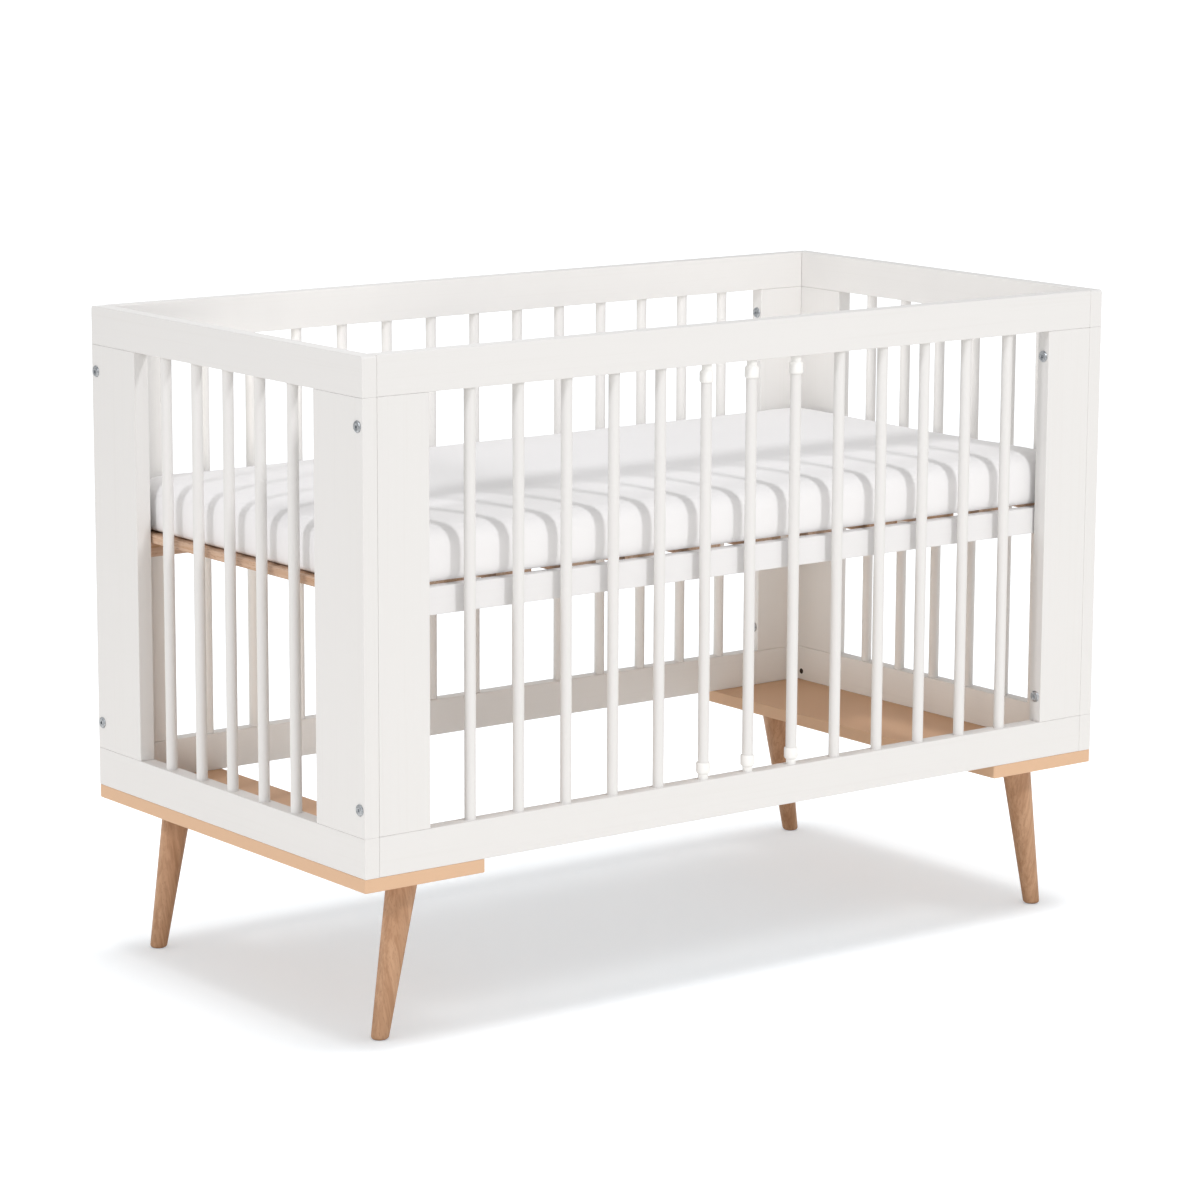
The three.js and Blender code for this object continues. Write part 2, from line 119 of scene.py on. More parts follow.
def operator(operation: str, swapped: bool = False) -> Callable[..., "Signal"]:
    """A Python operator on signals, which adds one Math node.

    Args:
        operation: The node's operation.
        swapped: Whether the signal is the operand on the right.

    Returns:
        The operator's method.
    """

    def method(signal: "Signal", *others: Number) -> "Signal":
        operands = (*others, signal) if swapped else (signal, *others)
        return signal.graph.math(operation, *operands)

    return method


class Signal:
    """A number's socket that works in Python arithmetic."""

    def __init__(self, graph: "Graph", socket: bpy.types.NodeSocket) -> None:
        """Wraps a socket of a graph."""
        self.graph = graph
        self.socket = socket

    __add__ = operator("ADD")
    __radd__ = operator("ADD", swapped=True)
    __sub__ = operator("SUBTRACT")
    __rsub__ = operator("SUBTRACT", swapped=True)
    __mul__ = operator("MULTIPLY")
    __rmul__ = operator("MULTIPLY", swapped=True)
    __truediv__ = operator("DIVIDE")
    __pow__ = operator("POWER")
    __abs__ = operator("ABSOLUTE")
    __gt__ = operator("GREATER_THAN")
    __lt__ = operator("LESS_THAN")


class Graph:
    """A node tree that is written as expressions."""

    def __init__(self, tree: bpy.types.NodeTree) -> None:
        """Wraps an empty node tree."""
        self.tree = tree

    def node(
        self,
        kind: str,
        settings: Mapping[str, Any] | None = None,
        inputs: Mapping[Union[str, int], Any] | None = None,
    ) -> bpy.types.Node:
        """Adds one node.

        Args:
            kind: The node's type.
            settings: Its own properties, set before its sockets.
            inputs: Values or links for its sockets, by name or by number.

        Returns:
            The node.
        """
        made = self.tree.nodes.new(kind)
        for key, value in (settings or {}).items():
            setattr(made, key, value)
        for key, value in (inputs or {}).items():
            self.feed(made.inputs[key], value)
        return made

    def feed(self, socket: bpy.types.NodeSocket, value: Any) -> None:
        """Links a signal or a socket to a socket, or sets its value."""
        if isinstance(value, Signal):
            self.tree.links.new(value.socket, socket)
        elif isinstance(value, bpy.types.NodeSocket):
            self.tree.links.new(value, socket)
        elif socket.type == "RGBA" and len(value) == 3:
            socket.default_value = (*value, 1.0)
        else:
            socket.default_value = value

    def math(self, operation: str, *operands: Number) -> Signal:
        """One Math node on numbers or signals."""
        made = self.node("ShaderNodeMath", {"operation": operation}, dict(enumerate(operands)))
        return Signal(self, made.outputs[0])

    def vector(self, operation: str, *operands: Any) -> bpy.types.NodeSocket:
        """One Vector Math node on vectors."""
        settings = {"operation": operation}
        return self.node("ShaderNodeVectorMath", settings, dict(enumerate(operands))).outputs[0]

    def joined(self, x: Number, y: Number, z: Number) -> bpy.types.NodeSocket:
        """A vector from its three parts."""
        return self.node("ShaderNodeCombineXYZ", None, {0: x, 1: y, 2: z}).outputs[0]

    def split(self, vector: bpy.types.NodeSocket) -> tuple[Signal, Signal, Signal]:
        """The three parts of a vector."""
        made = self.node("ShaderNodeSeparateXYZ", None, {0: vector})
        x, y, z = (Signal(self, socket) for socket in made.outputs)
        return x, y, z

    def smooth(self, value: Number, low: float, high: float) -> Signal:
        """Nought below low, one above high, and a soft step between them."""
        settings = {"interpolation_type": "SMOOTHSTEP"}
        inputs = {"Value": value, "From Min": low, "From Max": high}
        return Signal(self, self.node("ShaderNodeMapRange", settings, inputs).outputs[0])


class Paint(Graph):
    """A material's graph: patterns on the piece's own coordinates, and its shader."""

    def __init__(self, name: str) -> None:
        """Starts an empty material."""
        self.material = bpy.data.materials.new(name)
        self.material.use_nodes = True
        self.material.node_tree.nodes.clear()
        super().__init__(self.material.node_tree)
        self.place = self.node("ShaderNodeTexCoord").outputs["Object"]

    def noise(
        self, place: bpy.types.NodeSocket, scale: float, detail: float = 2.0, rough: float = 0.5
    ) -> Signal:
        """Fractal noise from nought to one, `scale` blotches to a metre."""
        inputs = {"Vector": place, "Scale": scale, "Detail": detail, "Roughness": rough}
        return Signal(self, self.node("ShaderNodeTexNoise", None, inputs).outputs["Fac"])

    def grain(
        self,
        place: bpy.types.NodeSocket,
        stretch: Sequence[float],
        detail: float = 2.0,
        rough: float = 0.5,
    ) -> Signal:
        """Noise with its own number of blotches to a metre in each direction."""
        return self.noise(self.vector("MULTIPLY", place, stretch), 1.0, detail, rough)

    def mix(self, first: Any, second: Any, share: Number) -> bpy.types.NodeSocket:
        """A colour between two, by the second one's share."""
        inputs = {0: share, 6: first, 7: second}
        return self.node("ShaderNodeMix", {"data_type": "RGBA"}, inputs).outputs[2]

    def bump(self, height: Number, distance: float, under: Any = None) -> bpy.types.NodeSocket:
        """A normal raised by `height` times `distance`, on top of another one."""
        inputs = {"Height": height, "Distance": distance, "Strength": 1.0}
        if under is not None:
            inputs["Normal"] = under
        return self.node("ShaderNodeBump", None, inputs).outputs[0]

    def shade(self, **sockets: Any) -> bpy.types.Material:
        """Ends in one Principled shader.

        Args:
            **sockets: Its sockets, with _ for each space in their names.

        Returns:
            The material.
        """
        inputs = {name.replace("_", " "): value for name, value in sockets.items()}
        shader = self.node("ShaderNodeBsdfPrincipled", None, inputs)
        self.node("ShaderNodeOutputMaterial", None, {"Surface": shader.outputs[0]})
        return self.material


# ------------------------------------------------------------------- finishes


def along(axis: Axis, lengthways: float, crossways: float) -> Vector:
    """A scale that is `lengthways` along an axis and `crossways` on the other two."""
    scale = [crossways] * 3
    scale[axis.value] = lengthways
    return Vector(scale)


@dataclass(frozen=True)
class Finish:
    """What all finishes share: a name, and one material made when it is first used."""

    name: str

    def material(self) -> bpy.types.Material:
        """The finish's material."""
        return bpy.data.materials.get(self.name) or self.mixed(Paint(self.name))

    def mixed(self, paint: Paint) -> bpy.types.Material:
        """Builds the material; each kind of finish says how."""
        raise NotImplementedError


@dataclass(frozen=True)
class Lacquer(Finish):
    """Satin white lacquer on wood, whose grain just shows through."""

    grain: Axis
    white: Colour = (0.785, 0.773, 0.757)
    deep: Colour = (0.735, 0.715, 0.69)
    gloss: float = 0.36

    def mixed(self, paint: Paint) -> bpy.types.Material:
        """White with faint long pores, a soft cloudiness and a fine orange peel."""
        pores = paint.grain(paint.place, along(self.grain, 3.5, 300.0), 3.0, 0.6)
        bands = paint.grain(paint.place, along(self.grain, 1.6, 42.0))
        cloud = paint.noise(paint.place, 9.0)
        peel = paint.noise(paint.place, 520.0, 1.0)
        tone = paint.smooth(pores, 0.5, 0.75) * 0.22 + bands * 0.16 + cloud * 0.1
        return paint.shade(
            Base_Color=paint.mix(self.white, self.deep, tone),
            Roughness=self.gloss + 0.08 * cloud + 0.05 * pores,
            Normal=paint.bump(peel * 0.5 + pores, 0.00006),
            Specular_IOR_Level=0.45,
        )


@dataclass(frozen=True)
class Beech(Finish):
    """Clear-varnished beech: soft bands, fine fibres and short dark flecks along the grain."""

    grain: Axis
    tilt: float = 0.0  # of the grain, about Y
    pale: Colour = (0.72, 0.53, 0.40)
    warm: Colour = (0.55, 0.325, 0.19)
    fleck: Colour = (0.36, 0.19, 0.10)
    board: float = 0.0  # width after which the wood changes to another board

    def mixed(self, paint: Paint) -> bpy.types.Material:
        """Bands, fibres and flecks, with the tone changing from board to board."""
        settings = {"vector_type": "POINT"}
        inputs = {"Vector": paint.place, "Rotation": (0.0, self.tilt, 0.0)}
        place = paint.node("ShaderNodeMapping", settings, inputs).outputs[0]
        wander = paint.grain(place, along(self.grain, 2.2, 9.0)) * 0.022
        bent = paint.vector("ADD", place, paint.joined(wander, wander, wander))
        bands = paint.grain(bent, along(self.grain, 1.3, 95.0), 3.0)
        streaks = paint.grain(bent, along(self.grain, 3.0, 330.0), 1.0)
        fibres = paint.grain(bent, along(self.grain, 26.0, 900.0))
        rays = paint.grain(bent, along(self.grain, 130.0, 760.0), 0.0)
        cloud = paint.noise(place, 14.0)
        tone = paint.smooth(bands, 0.36, 0.64) * 0.5 + paint.smooth(streaks, 0.4, 0.66) * 0.4
        tone = tone + cloud * 0.25 + fibres * 0.35 - 0.22
        if self.board:
            x, _, _ = paint.split(paint.place)
            which = paint.math("FLOOR", x / self.board)
            draw = paint.node("ShaderNodeTexWhiteNoise", {"noise_dimensions": "1D"}, {"W": which})
            tone = tone + 0.45 * Signal(paint, draw.outputs["Value"]) - 0.2
        flecks = paint.smooth(rays, 0.66, 0.74)
        wood = paint.mix(self.pale, self.warm, paint.math("MINIMUM", tone, 1.0))
        return paint.shade(
            Base_Color=paint.mix(wood, self.fleck, flecks * 0.5),
            Roughness=0.46 + 0.12 * fibres - 0.05 * flecks,
            Normal=paint.bump(fibres - 0.6 * flecks, 0.00008),
            Coat_Weight=0.12,
            Coat_Roughness=0.35,
            Specular_IOR_Level=0.4,
        )


@dataclass(frozen=True)
class Plated(Finish):
    """Zinc-plated or drawn steel, a little mottled and finely scratched."""

    bright: Colour = (0.55, 0.575, 0.60)
    dull: Colour = (0.30, 0.32, 0.34)
    gloss: float = 0.24

    def mixed(self, paint: Paint) -> bpy.types.Material:
        """Metal with cloudy passivation and short scratches."""
        cloud = paint.noise(paint.place, 260.0, 3.0)
        scratch = paint.grain(paint.place, (2600.0, 300.0, 2600.0))
        return paint.shade(
            Base_Color=paint.mix(self.bright, self.dull, paint.smooth(cloud, 0.35, 0.7)),
            Metallic=1.0,
            Roughness=self.gloss + 0.2 * cloud + 0.08 * scratch,
            Normal=paint.bump(scratch, 0.00003),
        )


@dataclass(frozen=True)
class Moulded(Finish):
    """White moulded plastic with a fine eroded texture."""

    white: Colour = (0.86, 0.86, 0.86)
    shade_of_white: Colour = (0.80, 0.80, 0.795)

    def mixed(self, paint: Paint) -> bpy.types.Material:
        """A bright, slightly uneven white."""
        grit = paint.noise(paint.place, 1500.0, 1.0)
        flow = paint.noise(paint.place, 90.0)
        return paint.shade(
            Base_Color=paint.mix(self.white, self.shade_of_white, flow),
            Roughness=0.3 + 0.1 * grit,
            Normal=paint.bump(grit, 0.00002),
            Specular_IOR_Level=0.5,
        )


@dataclass(frozen=True)
class BoredWood(Finish):
    """The inside of a drilled hole: raw wood, painted dark as the hole's shade."""

    # painted shade: both colours are raw wood darkened to near black, standing for the shade inside a
    # hole
    brown: Colour = (0.10, 0.065, 0.045)
    black: Colour = (0.03, 0.022, 0.018)

    def mixed(self, paint: Paint) -> bpy.types.Material:
        """Torn fibres, darkened with painted shade."""
        torn = paint.noise(paint.place, 900.0, 3.0)
        return paint.shade(
            Base_Color=paint.mix(self.black, self.brown, torn),
            Roughness=0.8 + 0.15 * torn,
            Normal=paint.bump(torn, 0.0002),
        )


@dataclass(frozen=True)
class KnitCover(Finish):
    """White knitted mattress cover: fine loops on all faces, and slight unevenness."""

    white: Colour = (0.85, 0.845, 0.88)
    shadow: Colour = (0.75, 0.74, 0.775)
    loop: float = 0.0011  # between rows of loops

    def mixed(self, paint: Paint) -> bpy.types.Material:
        """Rows of loops that keep their run over the edges, under a soft fuzz."""
        x, y, z = paint.split(paint.place)
        turn = 2.0 * math.pi / self.loop
        rows = paint.math("SINE", (y + z) * turn)
        stitches = paint.math("SINE", (x + z * 0.5) * turn * 1.35)
        loops = rows * stitches * 0.5 + 0.5
        fuzz = paint.noise(paint.place, 1400.0)
        slub = paint.grain(paint.place, (30.0, 420.0, 420.0))
        cloud = paint.noise(paint.place, 11.0, 3.0)
        dip = paint.bump(cloud, 0.0016)
        tone = loops * 0.3 + slub * 0.25 + cloud * 0.25 + 0.3
        return paint.shade(
            Base_Color=paint.mix(self.shadow, self.white, tone),
            Roughness=0.86 + 0.1 * fuzz,
            Normal=paint.bump(loops + 0.6 * slub + 0.4 * fuzz, 0.0001, dip),
            Sheen_Weight=0.25,
            Sheen_Roughness=0.5,
            Specular_IOR_Level=0.25,
        )


LACQUER = {axis: Lacquer(f"white_lacquer_{axis.word}", axis) for axis in Axis}
BASE_LACQUER = Lacquer("white_lacquer_base", Axis.X, (0.84, 0.83, 0.83), (0.80, 0.785, 0.775))
BOARD_BEECH = Beech("beech_board", Axis.Y)
LEG_LEAN = math.radians(10.0)
LEG_BEECH = {
    end: Beech(
        f"beech_leg_{end.word}",
        Axis.Z,
        tilt=-end.value * LEG_LEAN,
        pale=(0.575, 0.345, 0.205),
        warm=(0.41, 0.22, 0.115),
    )
    for end in End
}
SLAT_BEECH = Beech("beech_slat", Axis.Y, board=0.104)
CLEAT_BEECH = Beech("beech_cleat", Axis.X)
ZINC = Plated("zinc_plate")
SPRING_STEEL = Plated("spring_steel", bright=(0.45, 0.46, 0.48), dull=(0.26, 0.27, 0.29))
CAP_WHITE = Moulded("white_plastic")
# painted shade for the walls of drilled holes and notches
BORE_SHADE = BoredWood("bored_wood")
COVER = KnitCover("mattress_cover")


# --------------------------------------------------------------- mesh helpers


def stood(name: str, mesh: bpy.types.Mesh) -> bpy.types.Object:
    """Puts a mesh in the scene as an object at the origin."""
    made = bpy.data.objects.new(name, mesh)
    bpy.context.scene.collection.objects.link(made)
    return made


def meshed(
    name: str,
    points: Iterable[Sequence[float]],
    faces: Iterable[Sequence[int]],
    finish: Finish | None = None,
) -> bpy.types.Object:
    """An object from its points and faces, shaded smooth.

    Args:
        name: The object's name.
        points: Corners, in metres.
        faces: Indices of each face's corners, anticlockwise from outside.
        finish: Its finish, if it has one.

    Returns:
        The object.
    """
    mesh = bpy.data.meshes.new(name)
    mesh.from_pydata([tuple(p) for p in points], [], [tuple(f) for f in faces])
    mesh.shade_smooth()
    if finish:
        mesh.materials.append(finish.material())
    return stood(name, mesh)


def discarded(*used: bpy.types.Object) -> None:
    """Removes helper objects with their meshes."""
    for helper in used:
        mesh = helper.data
        bpy.data.objects.remove(helper)
        bpy.data.meshes.remove(mesh)


def settled(made: bpy.types.Object) -> bpy.types.Object:
    """Applies an object's modifiers and turns its faces outwards if they all face in."""
    graph = bpy.context.evaluated_depsgraph_get()
    mesh = bpy.data.meshes.new_from_object(made.evaluated_get(graph), depsgraph=graph)
    made.modifiers.clear()
    spent, made.data = made.data, mesh
    bpy.data.meshes.remove(spent)
    mesh.name = made.name
    shape = bmesh.new()
    shape.from_mesh(mesh)
    if shape.calc_volume(signed=True) < 0:
        mesh.flip_normals()
    shape.free()
    return made


def polished(made: bpy.types.Object) -> bpy.types.Object:
    """Lets the broad flat faces keep their own normals beside the eased edges."""
    made.modifiers.new("flats", "WEIGHTED_NORMAL").keep_sharp = True
    return settled(made)


def drilled(made: bpy.types.Object, cutters: Sequence[bpy.types.Object]) -> bpy.types.Object:
    """Cuts holes and notches; their walls take the cutters' finish."""
    for cutter in cutters:
        cut = made.modifiers.new("cut", "BOOLEAN")
        cut.operation = "DIFFERENCE"
        cut.solver = "EXACT"
        cut.material_mode = "TRANSFER"
        cut.object = cutter
    settled(made)
    discarded(*cutters)
    return made


def rounded_outline(
    width: float, height: float, corners: Sequence[float], inset: float, steps: int
) -> list[tuple[float, float]]:
    """A rectangle round the origin with rounded corners, anticlockwise from its lower left.

    Args:
        width: Its size along the first direction.
        height: Its size along the second.
        corners: The four corner radii.
        inset: How far the outline is drawn in all round.
        steps: Facets at each corner.

    Returns:
        The outline's points.
    """
    outline = []
    signs = [(-1, -1, 180), (1, -1, 270), (1, 1, 0), (-1, 1, 90)]
    for (su, sv, start), radius in zip(signs, corners):
        left = max(radius - inset, LEAST_CORNER)
        cu, cv = su * (width / 2 - inset - left), sv * (height / 2 - inset - left)
        for step in range(steps + 1):
            angle = math.radians(start + 90.0 * step / steps)
            outline.append((cu + left * math.cos(angle), cv + left * math.sin(angle)))
    return outline


def slab_rings(
    low: float, high: float, edges: tuple[float, float], steps: int
) -> list[tuple[float, float]]:
    """The rings that round a slab's edges, from its underside up.

    Args:
        low: The level of its underside.
        high: The level of its upper side.
        edges: The radii of its lower and its upper edge.
        steps: Facets on each edge.

    Returns:
        How far each ring is drawn in, and its level.
    """
    turns = [0.5 * math.pi * k / steps for k in range(steps + 1)]
    under, over = ([(e * (1 - math.sin(a)), e * (1 - math.cos(a))) for a in turns] for e in edges)
    rings = [(inset, low + rise) for inset, rise in under]
    return rings + [(inset, high - rise) for inset, rise in reversed(over)]


def lofted(rings: int, around: int) -> list[list[int]]:
    """The faces of a solid through stacked rings of as many points each, closed at both ends."""
    faces = []
    for ring in range(rings - 1):
        for i in range(around):
            j = (i + 1) % around
            low, high = ring * around, (ring + 1) * around
            faces.append([low + i, low + j, high + j, high + i])
    last = around * (rings - 1)
    return faces + [list(range(around))[::-1], list(range(last, last + around))]


@dataclass
class Board:
    """A planed board with eased edges, its corners rounded in its own plane."""

    low: Vector
    high: Vector
    thin: Axis
    easing: float = 0.001
    corners: Sequence[float] = (SEAM_CORNER,) * 4
    steps: int = 4

    def built(self, name: str, finish: Finish) -> bpy.types.Object:
        """Lofts the board through rings that round its edges.

        Args:
            name: The object's name.
            finish: Its finish.

        Returns:
            The board, with its faces outwards.
        """
        w = self.thin.value
        u, v = (w + 1) % 3, (w + 2) % 3
        size, middle = self.high - self.low, (self.high + self.low) / 2
        rings = slab_rings(self.low[w], self.high[w], (self.easing, self.easing), self.steps)
        points = []
        for inset, level in rings:
            for a, b in rounded_outline(size[u], size[v], self.corners, inset, self.steps):
                point = [0.0, 0.0, 0.0]
                point[u], point[v], point[w] = middle[u] + a, middle[v] + b, level
                points.append(point)
        return meshed(name, points, lofted(len(rings), 4 * (self.steps + 1)), finish)


def turned(
    name: str,
    profile: Sequence[tuple[float, float]],
    finish: Finish,
    place: Matrix | None = None,
    sides: int = 32,
) -> bpy.types.Object:
    """A piece turned about Z from (radius, height) pairs, listed upwards on its outside.

    Args:
        name: The object's name.
        profile: The outline; its first and last points close flat towards the axis.
        finish: Its finish.
        place: Where it goes, and which way it points.
        sides: Facets round it.

    Returns:
        The piece, with its steps kept sharp.
    """
    points = [
        (r * math.cos(2 * math.pi * i / sides), r * math.sin(2 * math.pi * i / sides), z)
        for r, z in profile
        for i in range(sides)
    ]
    made = meshed(name, points, lofted(len(profile), sides), finish)
    made.data.transform(place or Matrix.Identity(4))
    made.data.set_sharp_from_angle(angle=TURNED_CREASE)
    return made


def rod(start: Vector, stop: Vector, radius: float) -> bpy.types.Object:
    """A drill: a round rod between two points, whose cuts show bare wood darkened with painted shade.
    """
    run = stop - start
    place = Matrix.Translation(start) @ run.to_track_quat("Z", "Y").to_matrix().to_4x4()
    return turned("drill", [(radius, 0.0), (radius, run.length)], BORE_SHADE, place, DRILL_SIDES)


# ---------------------------------------------------------------- grown shapes


class Recipe(Graph):
    """A Geometry Nodes tree with named inputs, which ends in real, finished geometry."""

    KINDS = {
        int: "NodeSocketInt",
        float: "NodeSocketFloat",
        Vector: "NodeSocketVector",
        bpy.types.Material: "NodeSocketMaterial",
        bpy.types.Object: "NodeSocketObject",
    }

    def __init__(self, name: str) -> None:
        """Starts a tree that takes the host's points and gives geometry back."""
        super().__init__(bpy.data.node_groups.new(name, "GeometryNodeTree"))
        shape = "NodeSocketGeometry"
        self.tree.interface.new_socket("Geometry", in_out="OUTPUT", socket_type=shape)
        self.tree.interface.new_socket("Points", in_out="INPUT", socket_type=shape)
        self.source = self.node("NodeGroupInput")

    def size(self, name: str, kind: type) -> Any:
        """A named input: a signal for a number, else its socket."""
        self.tree.interface.new_socket(name, in_out="INPUT", socket_type=self.KINDS[kind])
        socket = self.source.outputs[name]
        return Signal(self, socket) if kind in (int, float) else socket

    def made(self, kind: str, settings: Mapping[str, Any] | None = None, **inputs: Any) -> Any:
        """The first output of one geometry node, with _ for each space in its sockets' names."""
        named = {key.replace("_", " "): value for key, value in inputs.items()}
        return self.node("GeometryNode" + kind, settings, named).outputs[0]

    def row(self) -> Any:
        """Points in a straight row, with its own named inputs."""
        inputs = {
            "Count": self.size("Count", int),
            "Start_Location": self.size("Start", Vector),
            "Offset": self.size("Pitch", Vector),
        }
        return self.made("MeshLine", **inputs)

    def closed(self, geometry: Any) -> None:
        """Ends the tree: instances made real, then the material."""
        real = self.made("RealizeInstances", Geometry=geometry)
        finish = self.size("Material", bpy.types.Material)
        dressed = self.made("SetMaterial", Geometry=real, Material=finish)
        self.node("NodeGroupOutput", None, {0: dressed})

    def grown(
        self,
        name: str,
        finish: Finish,
        sizes: Mapping[str, Any],
        points: Iterable[Sequence[float]] = (),
    ) -> bpy.types.Object:
        """Runs the tree once and keeps its result as a plain mesh.

        Args:
            name: The object's name.
            finish: Its finish.
            sizes: A value for each named input.
            points: The host's points, for a tree that works on them.

        Returns:
            The object, without modifiers.
        """
        host = meshed(name, points, [])
        grower = host.modifiers.new(name, "NODES")
        grower.node_group = self.tree
        values = {**sizes, "Material": finish.material()}
        for item in self.tree.interface.items_tree:
            if item.item_type == "SOCKET" and item.in_out == "INPUT" and item.name in values:
                grower[item.identifier] = values[item.name]
        return settled(host)


def bar_recipe() -> Recipe:
    """Round upright bars in a row, with those near the middle left out."""
    tree = Recipe("bar_row")
    radius, rise = tree.size("Radius", float), tree.size("Rise", float)
    path = tree.made("CurvePrimitiveLine", Start=Vector(), End=tree.joined(0.0, 0.0, rise))
    ring = tree.made("CurvePrimitiveCircle", Resolution=28, Radius=radius)
    bar = tree.made("CurveToMesh", Curve=path, Profile_Curve=ring, Fill_Caps=True)
    row = tree.row()
    x, _, _ = tree.split(tree.made("InputPosition"))
    wanted = abs(x) > tree.size("Clear", float)
    bars = tree.made("InstanceOnPoints", Points=row, Selection=wanted, Instance=bar)
    _, _, up = tree.split(tree.made("InputNormal"))
    real = tree.made("RealizeInstances", Geometry=bars)
    tree.closed(tree.made("SetShadeSmooth", Geometry=real, Selection=abs(up) < 0.5))
    return tree


def lath_recipe() -> Recipe:
    """Flat laths with eased long edges in a row."""
    tree = Recipe("lath_row")
    width, depth = tree.size("Width", float), tree.size("Thickness", float)
    section = tree.made("CurvePrimitiveQuadrilateral", Width=width, Height=depth)
    easing = tree.size("Easing", float)
    eased = tree.made("FilletCurve", {"mode": "POLY"}, Curve=section, Count=4, Radius=easing)
    ends = {"Start": tree.size("From", Vector), "End": tree.size("To", Vector)}
    path = tree.made("CurvePrimitiveLine", **ends)
    lath = tree.made("CurveToMesh", Curve=path, Profile_Curve=eased, Fill_Caps=True)
    tree.closed(tree.made("InstanceOnPoints", Points=tree.row(), Instance=lath))
    return tree


def setting_recipe() -> Recipe:
    """One pattern piece at each of the host's points, turned round where X is negative."""
    tree = Recipe("set_pieces")
    pattern = tree.made("ObjectInfo", Object=tree.size("Pattern", bpy.types.Object))
    info = pattern.node.outputs["Geometry"]
    x, _, _ = tree.split(tree.made("InputPosition"))
    turn = tree.size("Turn", float) * (x < 0.0)
    points = tree.made("MeshToPoints", Mesh=tree.source.outputs["Points"])
    settled_on = {"Points": points, "Instance": info, "Rotation": tree.joined(0.0, 0.0, turn)}
    tree.closed(tree.made("InstanceOnPoints", **settled_on))
    return tree


def coil_recipe() -> Recipe:
    """A coil spring that stands on the host's point."""
    tree = Recipe("coil")
    wire, height = tree.size("Wire", float), tree.size("Height", float)
    radius = tree.size("Radius", float)
    path = tree.made(
        "CurveSpiral",
        Resolution=28,
        Rotations=tree.size("Turns", float),
        Start_Radius=radius,
        End_Radius=radius,
        Height=height,
    )
    ring = tree.made("CurvePrimitiveCircle", Resolution=10, Radius=wire)
    coil = tree.made("CurveToMesh", Curve=path, Profile_Curve=ring, Fill_Caps=True)
    tree.closed(tree.made("InstanceOnPoints", Points=tree.source.outputs["Points"], Instance=coil))
    return tree


def leg_recipe() -> Recipe:
    """A tapered leg that leans along X, level at both ends, with a rounded foot."""
    tree = Recipe("turned_leg")
    height, lean = tree.size("Height", float), tree.size("Lean", float)
    top, foot = tree.size("Top", float), tree.size("Foot", float)
    rim = tree.size("Rim", float)
    blank = tree.node(
        "GeometryNodeMeshCylinder",
        {"fill_type": "NGON"},
        {"Vertices": 48, "Side Segments": 44, "Radius": 1.0, "Depth": 1.0},
    ).outputs[0]
    x, y, z = tree.split(tree.made("InputPosition"))
    crowding = 1.7  # draws the rings together near the foot
    level = (z + 0.5) ** crowding * height
    near_foot = tree.math("MAXIMUM", 1.0 - level / rim, 0.0)
    drawn_in = rim * (1.0 - tree.math("SQRT", tree.math("MAXIMUM", 1.0 - near_foot**2, 0.0)))
    radius = foot + (top - foot) * level / height - drawn_in
    slope = tree.math("TANGENT", lean)
    stretch = tree.math("COSINE", lean)
    shaped = tree.joined(x * (radius / stretch) + level * slope, y * radius, level)
    leg = tree.made("SetPosition", Geometry=blank, Position=shaped)
    tree.closed(tree.made("InstanceOnPoints", Points=tree.source.outputs["Points"], Instance=leg))
    return tree


# ---------------------------------------------------------------- assemblies


def handed(
    made: bpy.types.Object, body: str, nodes: Sequence[str] = ()
) -> bpy.types.Object:
    """Gives a finished piece to the frame.

    Args:
        made: The piece.
        body: The body that it moves with.
        nodes: The CAD nodes that it stands for.

    Returns:
        The piece.
    """
    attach(made, body)
    if nodes:
        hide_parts(*nodes)
    log.info("%s on %s: %d faces", made.name, body, len(made.data.polygons))
    return made


def joined_in(made: bpy.types.Object, node: str) -> None:
    """Finishes a white board of the frame, and hands it over for its CAD node."""
    handed(polished(made), "frame", [node])


@dataclass
class Workshop:
    """The geometry recipes, each built once and used by every assembly."""

    bars: Recipe
    laths: Recipe
    settings: Recipe
    coils: Recipe
    legs: Recipe


def bar_sizes(
    radius: float,
    rise: float,
    start: Vector,
    count: int = 1,
    pitch: Sequence[float] = (0.0, 0.0, 0.0),
    clear: float = -1.0,
) -> dict[str, Any]:
    """The bar recipe's inputs.

    Args:
        radius: A bar's radius.
        rise: Its length.
        start: The foot of the first bar.
        count: Bars in the row.
        pitch: From one bar to the next.
        clear: How far from the middle a bar must be, to stay.

    Returns:
        A value for each input.
    """
    place = {"Start": start, "Count": count, "Pitch": Vector(pitch)}
    return {"Radius": radius, "Rise": rise, "Clear": clear, **place}


